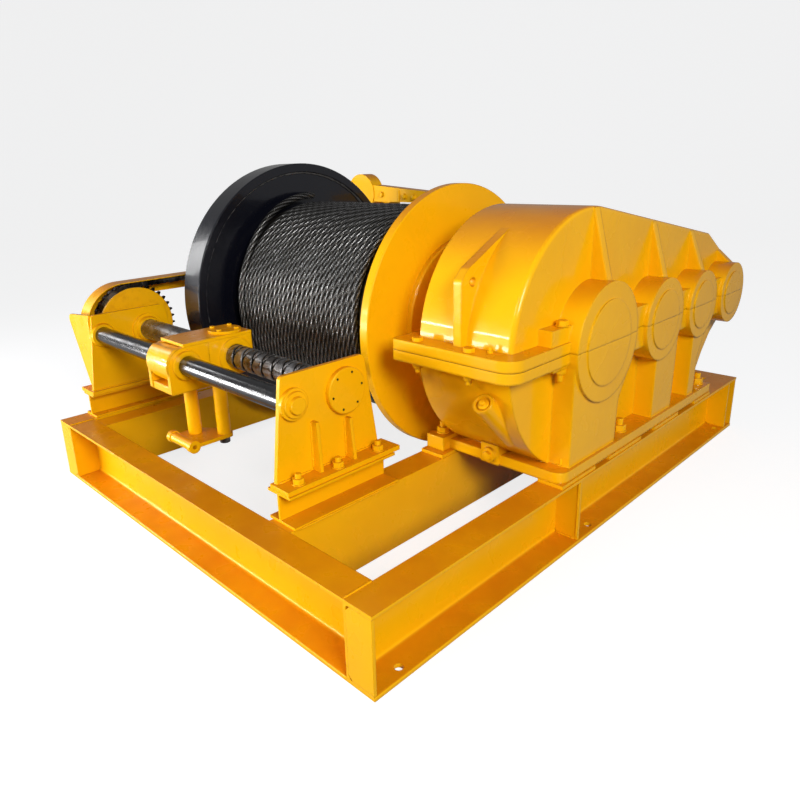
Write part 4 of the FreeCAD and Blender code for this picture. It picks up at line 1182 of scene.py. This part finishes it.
@dataclass
class StandDetails:
    """Fasteners on the two stands, and the brackets' bearing covers.

    Attributes:
        kit: The finishes.
        foot: Top of the stands' foot plates.
        cap_face: Outer face of the screw's bearing cover.
        right_bolts: X of the right stand's foot bolts, and their Y.
        left_bolts: X of the left stand's foot bolts, and their Y.
        cap_screws: Radius of the cover's screw circle, in metres.
    """

    kit: Kit
    foot: float = 368.0
    cap_face: float = 1440.0
    right_bolts: tuple[float, tuple[float, ...]] = (1464.0, (176.0, 332.0, 506.0))
    left_bolts: tuple[float, tuple[float, ...]] = (24.0, (332.0, 506.0))
    cap_screws: float = 0.061

    def build(self) -> None:
        """Makes the foot bolts and the small screws of the covers."""
        for side, (x, along) in (("right", self.right_bolts), ("left", self.left_bolts)):
            bolts = [Bolt(place(x, y, self.foot), Z, 0.021, 0.015) for y in along]
            bolt_set(f"{side}_stand_bolts", bolts, self.kit.yellow, "frame")
        screws = Shape("bearing_cover_screws")
        for spot in around(place(self.cap_face, SCREW_Y, SCREW_Z), X, self.cap_screws, 6, 10.0):
            screws.bar(spot - X * 0.0005, X, 0.0042, 0.0015, 12, 0.0004)
        screws.finish(self.kit.grease, "frame", 30.0)


@dataclass
class CarriageDetails:
    """Bolts, grease hole and stub of the rope guide's carriage.

    Attributes:
        kit: The finishes.
        cap: Middle of the round cap over the follower.
        cap_bolts: Radius of the cap's bolt circle, in metres.
        grease_hole: Place of the grease hole on the right face.
        stub: Place of the pin end under the tie plate.
        bore: Place in the rope guide tube's bore, near its right end.
    """

    kit: Kit
    cap: tuple[float, float, float] = (742.0, 408.0, 693.0)
    cap_bolts: float = 0.049
    grease_hole: tuple[float, float, float] = (804.0, 214.0, 650.0)
    stub: tuple[float, float, float] = (786.0, 336.0, 285.0)
    bore: tuple[float, float, float] = (752.0, 192.0, 292.5)

    def build(self) -> None:
        """Makes the carriage's small parts."""
        spots = around(place(*self.cap), Z, self.cap_bolts, 4, 35.0)
        bolts = [Bolt(spot, Z, 0.011, 0.0, False) for spot in spots]
        bolt_set("follower_cap_bolts", bolts, self.kit.yellow, "carriage")
        ring = Shape("grease_hole_ring")
        ring.turned(place(*self.grease_hole), X, ((0.0, 0.011), (0.004, 0.0105), (0.005, 0.008),
                                                 (0.004, 0.005), (0.0, 0.005)), 24)
        ring.finish(self.kit.yellow, "carriage", 50.0)
        # A flat dark disc fills the hole's mouth: painted shade of the hole.
        hole_shade = Shape("grease_hole")
        hole_shade.bar(place(*self.grease_hole), X, 0.0055, 0.0012, 20)
        hole_shade.finish(self.kit.grease, "carriage")
        pin = Shape("rear_post_stub")
        pin.bar(place(*self.stub), -Z, 0.020, 0.023, 28, 0.002)
        pin.finish(self.kit.chain, "carriage")
        bore = Shape("rope_guide_bore_shadow")
        bore.bar(place(*self.bore), X, 0.0078, 0.030, 20)
        bore.finish(self.kit.grease, "carriage")


@dataclass
class DriveDetails:
    """Fasteners of the drum's bearing, the motor and the brake lever.

    Attributes:
        kit: The finishes.
        motor: Face of the motor flange and the shaft line, in corner millimetres.
        lever_y: Front face of the brake lever.
        lever_bolts: X and Z of the lever's bolts.
        bearing: X and height of the bearing's foot, and the bolts' distance from its middle.
    """

    kit: Kit
    motor: tuple[float, float, float] = (1276.0, 2255.0, 691.0)
    lever_y: float = 1780.0
    lever_bolts: tuple[tuple[float, float], ...] = ((226.0, 1117.0), (397.0, 1108.0), (466.0, 1104.0))
    bearing: tuple[float, float, float] = (115.0, 646.0, 138.0)

    def build(self) -> None:
        """Makes the groups of fasteners and the lever's rib."""
        x, z, reach = self.bearing
        bolts = [Bolt(place(x, y, z), Z, 0.026, 0.024) for y in (DRUM_Y - reach, DRUM_Y + reach)]
        bolt_set("drum_bearing_bolts", bolts, self.kit.yellow, "frame")
        spots = around(place(*self.motor), -X, 0.094, 6, 30.0)
        bolt_set("motor_bolts", [Bolt(spot, -X, 0.012, 0.0) for spot in spots], self.kit.steel, "frame")
        heads = [Bolt(place(x, self.lever_y, z), -Y, 0.016, 0.0) for x, z in self.lever_bolts]
        bolt_set("brake_lever_bolts", heads, self.kit.yellow, "frame")
        rib = Shape("brake_lever_rib")
        rib.block(place(350, self.lever_y - 6, 1082), place(362, self.lever_y + 1, 1140), 0.002)
        rib.finish(self.kit.yellow, "frame")


# Straight weld beads: the node that carries them, its body, and both ends of each in corner millimetres.
WELD_LINES = {
    "right_pedestal_welds": ("right_pedestal", "frame", (
        ((1512, 122, 251), (1512, 552, 251)), ((1386, 122, 251), (1386, 552, 251)))),
    "left_pedestal_welds": ("left_pedestal", "frame", (
        ((101, 122, 251), (101, 552, 251)), ((2, 122, 251), (2, 552, 251)))),
    "right_stand_welds": ("right_stand", "frame", (
        ((1423, 132, 369), (1423, 262, 369)), ((1423, 286, 369), (1423, 400, 369)),
        ((1423, 420, 369), (1423, 545, 369)), ((1423, 267, 370), (1423, 267, 528)),
        ((1423, 403, 370), (1423, 403, 503)))),
    "left_stand_welds": ("left_stand", "frame", (
        ((91, 132, 369), (91, 545, 369)), ((73, 159, 372), (73, 159, 680)))),
    "frame_corner_welds": ("right_channel", "frame", (
        ((1852, 1, 251), (1852, 103, 251)), ((1858, 9, 22), (1858, 9, 226)),
        ((1944, 983, 16), (1944, 983, 236)), ((1866, 981, 14), (1940, 981, 14)),
        ((1866, 981, 236), (1940, 981, 236)))),
    "frame_left_welds": ("left_channel", "frame", (
        ((104, 1, 251), (104, 103, 251)), ((98, 9, 22), (98, 9, 226)))),
    "post_welds": ("post_tie_plate", "carriage", (((698, 235, 300), (698, 290, 300)),)),
}


@dataclass
class Welds:
    """Weld beads on the frame, the stands and the black flange.

    Attributes:
        kit: The finishes.
        size: Radius of the frame's beads, in metres.
        ring: Radius of the bead inside the black rim, in metres.
        ring_x: Place of that bead along the drum, in corner millimetres.
        ring_size: Radius of its section, in metres.
    """

    kit: Kit
    size: float = 0.0042
    ring: float = 0.556
    ring_x: float = 351.0
    ring_size: float = 0.0064

    def build(self) -> None:
        """Makes the beads of each node that carries some."""
        for name, (slot, body, lines) in WELD_LINES.items():
            self._lines(name, lines, body)
        beads = Shape("brake_flange_weld_bead")
        beads.ring_bead(place(self.ring_x, DRUM_Y, DRUM_Z), self.ring, self.ring_size, 40)
        beads.finish(self.kit.bead, "drum", 80.0)

    def _lines(self, name: str, lines: Sequence[tuple], body: str) -> None:
        """Makes one piece of straight beads.

        Args:
            name: Name of the piece.
            lines: Pairs of end points, in corner millimetres.
            body: CAD body that carries them.
        """
        shape = Shape(name)
        for seed, (start, end) in enumerate(lines):
            shape.bead(place(*start), place(*end), self.size, seed + len(name))
        shape.finish(self.kit.yellow, body, 80.0)


class NodePaint:
    """Gives every CAD node its finish."""

    OTHERS = {
        "brake_ring_flange": "black", "drum_barrel": "black", "guide_rod": "rod", "drum_shaft": "steel",
        "output_shaft": "steel", "drum_sprocket": "chain", "screw_sprocket": "sprocket",
        "hydraulic_motor": "black", "gearbox_upper_housing": "cast", "gearbox_lower_housing": "cast",
        "rod_clamp": "cast", "follower_block": "cast", "drum_pillow_block": "cast",
    }

    def __init__(self, kit: Kit) -> None:
        """Keeps the finishes."""
        self.kit = kit

    def build(self) -> None:
        """Sets one material on each node."""
        for name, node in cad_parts.items():
            node.data.materials.clear()
            node.data.materials.append(getattr(self.kit, self.OTHERS.get(name, "yellow")))


@dataclass
class Studio:
    """Floor, backdrop, lights and the camera at the photograph's place.

    Attributes:
        azimuth: Camera's turn about the vertical, in degrees.
        elevation: Camera's height angle, in degrees.
        roll: Camera's tilt, in degrees.
        spot: Camera's place in metres.
        focal: Focal length in picture widths.
        centre: Middle of the lens in picture widths.
        glow: Share of plain white that the floor shows to the camera.
        mirrored: Share of that which mirror-like surfaces see.
        sheet: Half width and half depth of the floor, and the radius of its curve, in metres.
    """

    azimuth: float = 45.14
    elevation: float = 17.67
    roll: float = -1.53
    spot: tuple[float, float, float] = (1.9569, -2.1144, 1.2624)
    focal: float = 664.1 / 800
    centre: tuple[float, float] = (390.0 / 800, 378.3 / 800)
    glow: float = 0.80
    mirrored: float = 0.30
    sheet: tuple[float, float, float] = (16.0, 9.0, 6.0)

    def build(self) -> None:
        """Sets up everything round the object."""
        self._floor()
        self._world()
        self._lights()
        self._camera()
        bpy.context.scene.view_settings.view_transform = "Standard"

    def _floor(self) -> None:
        """Draws the floor and the backdrop as one sheet that curves up behind."""
        graph = Graph("pale_studio")
        path = graph.node("ShaderNodeLightPath", {}, "Is Camera Ray")
        gloss = graph.node("ShaderNodeLightPath", {}, "Is Glossy Ray")
        seen = path + gloss * self.mirrored
        light = seen.blend((0.0, 0.0, 0.0, 1.0), (self.glow, self.glow, self.glow, 1.0))
        tone = seen.blend((0.07, 0.06, 0.05, 1.0), Tone.FLOOR.value)
        material = graph.close(Base_Color=tone, Roughness=0.7, Emission_Color=light, Emission_Strength=1.0)
        maker = bmesh.new()
        turn = Matrix.Rotation(math.radians(self.azimuth), 4, "Z")
        wide, deep, curve = self.sheet
        size = Matrix.Translation((0, 0, -0.0005)) @ Matrix.Diagonal((wide, deep, 1, 1))
        made = bmesh.ops.create_grid(maker, x_segments=1, y_segments=1, size=1.0, matrix=turn @ size)
        back = [v for v in made["verts"] if (turn.inverted() @ v.co).y > 0]
        edge = [e for e in maker.edges if e.verts[0] in back and e.verts[1] in back]
        bend = turn @ Vector((0.0, deep, curve))
        bmesh.ops.spin(maker, geom=back + edge, cent=bend, axis=turn.to_3x3() @ X, angle=math.pi / 2,
                       steps=14, use_merge=False, use_duplicate=False)
        for face in maker.faces:
            face.smooth = True
        mesh = bpy.data.meshes.new("studio_floor")
        maker.to_mesh(mesh)
        maker.free()
        mesh.materials.append(material)
        floor = bpy.data.objects.new("studio_floor", mesh)
        bpy.context.scene.collection.objects.link(floor)

    @staticmethod
    def _world() -> None:
        """Lights the room softly, brighter at the horizon than overhead."""
        world = bpy.data.worlds.new("studio_light")
        bpy.context.scene.world = world
        world.use_nodes = True
        tree = world.node_tree
        back = tree.nodes["Background"]
        way = tree.nodes.new("ShaderNodeTexCoord")
        split = tree.nodes.new("ShaderNodeSeparateXYZ")
        fade = tree.nodes.new("ShaderNodeMapRange")
        fade.inputs["From Min"].default_value = 0.0
        fade.inputs["From Max"].default_value = 0.8
        fade.inputs["To Min"].default_value = 0.30
        fade.inputs["To Max"].default_value = 0.20
        tree.links.new(way.outputs["Generated"], split.inputs[0])
        tree.links.new(split.outputs["Z"], fade.inputs["Value"])
        path = tree.nodes.new("ShaderNodeLightPath")
        total = tree.nodes.new("ShaderNodeMath")
        total.operation = "MULTIPLY_ADD"
        total.inputs[1].default_value = 0.66
        tree.links.new(path.outputs["Is Camera Ray"], total.inputs[0])
        tree.links.new(fade.outputs["Result"], total.inputs[2])
        tree.links.new(total.outputs["Value"], back.inputs["Strength"])
        back.inputs["Color"].default_value = (0.97, 0.98, 1.0, 1.0)

    def _lights(self) -> None:
        """Places the soft key lamp and the two low window strips in front."""
        self._area("key_light", (4.4, -2.4, 2.9), (0.2, 0.0, 0.5), (1.6, 1.6), 205.0)
        self._area("high_window", (-2.3, -3.9, 1.08), (0.7, -0.4, 0.8), (3.2, 0.10), 60.0)
        self._area("low_window", (-2.3, -3.9, 0.36), (0.7, -0.4, 0.7), (3.2, 0.40), 125.0)
        self._area("left_light", (-3.3, -1.9, 1.9), (-0.6, 0.0, 0.8), (0.4, 1.6), 11.0)
        self._area("fill_light", (0.2, -4.4, 2.6), (0.2, 0.0, 0.5), (1.2, 0.7), 34.0)

    @staticmethod
    def _area(name: str, spot: tuple[float, float, float], aim: tuple[float, float, float],
              size: tuple[float, float], power: float) -> None:
        """Adds one flat lamp.

        Args:
            name: Name of the lamp.
            spot: Its place in metres.
            aim: Point that it faces.
            size: Width and height in metres.
            power: Power in watts.
        """
        lamp = bpy.data.lights.new(name, "AREA")
        lamp.shape = "RECTANGLE"
        lamp.size, lamp.size_y = size
        lamp.energy = power
        lit = bpy.data.objects.new(name, lamp)
        lit.location = spot
        lit.rotation_mode = "QUATERNION"
        lit.rotation_quaternion = (Vector(aim) - Vector(spot)).to_track_quat("-Z", "Y")
        bpy.context.scene.collection.objects.link(lit)

    def _camera(self) -> None:
        """Places the camera where the photograph was taken from."""
        a, e, roll = (math.radians(v) for v in (self.azimuth, self.elevation, self.roll))
        back = Vector((math.sin(a) * math.cos(e), -math.cos(a) * math.cos(e), math.sin(e)))
        right = (-back).cross(Z).normalized()
        above = right.cross(-back)
        side = right * math.cos(roll) + above * math.sin(roll)
        head = above * math.cos(roll) - right * math.sin(roll)
        lens = bpy.data.cameras.new("photo_camera")
        lens.sensor_width = 36.0
        lens.lens = self.focal * lens.sensor_width
        lens.shift_x = 0.5 - self.centre[0]
        lens.shift_y = self.centre[1] - 0.5
        lens.clip_end = 60.0
        camera = bpy.data.objects.new("photo_camera", lens)
        camera.matrix_world = Matrix.Translation(self.spot) @ Matrix((side, head, back)).transposed().to_4x4()
        bpy.context.scene.collection.objects.link(camera)
        bpy.context.scene.camera = camera


def main() -> None:
    """Builds the looks of the winch round its CAD frame, one sub-assembly after another."""
    logging.basicConfig(level=logging.INFO)
    kit = Kit()
    parts = [make(kit) for make in (NodePaint, Rope, LeadScrew, DriveChain, GearboxDetails, StandDetails,
                                    CarriageDetails, DriveDetails, Welds)]
    parts.append(Studio())
    for part in parts:
        part.build()
        LOG.info("built %s", type(part).__name__)


if __name__ == "__main__":
    main()
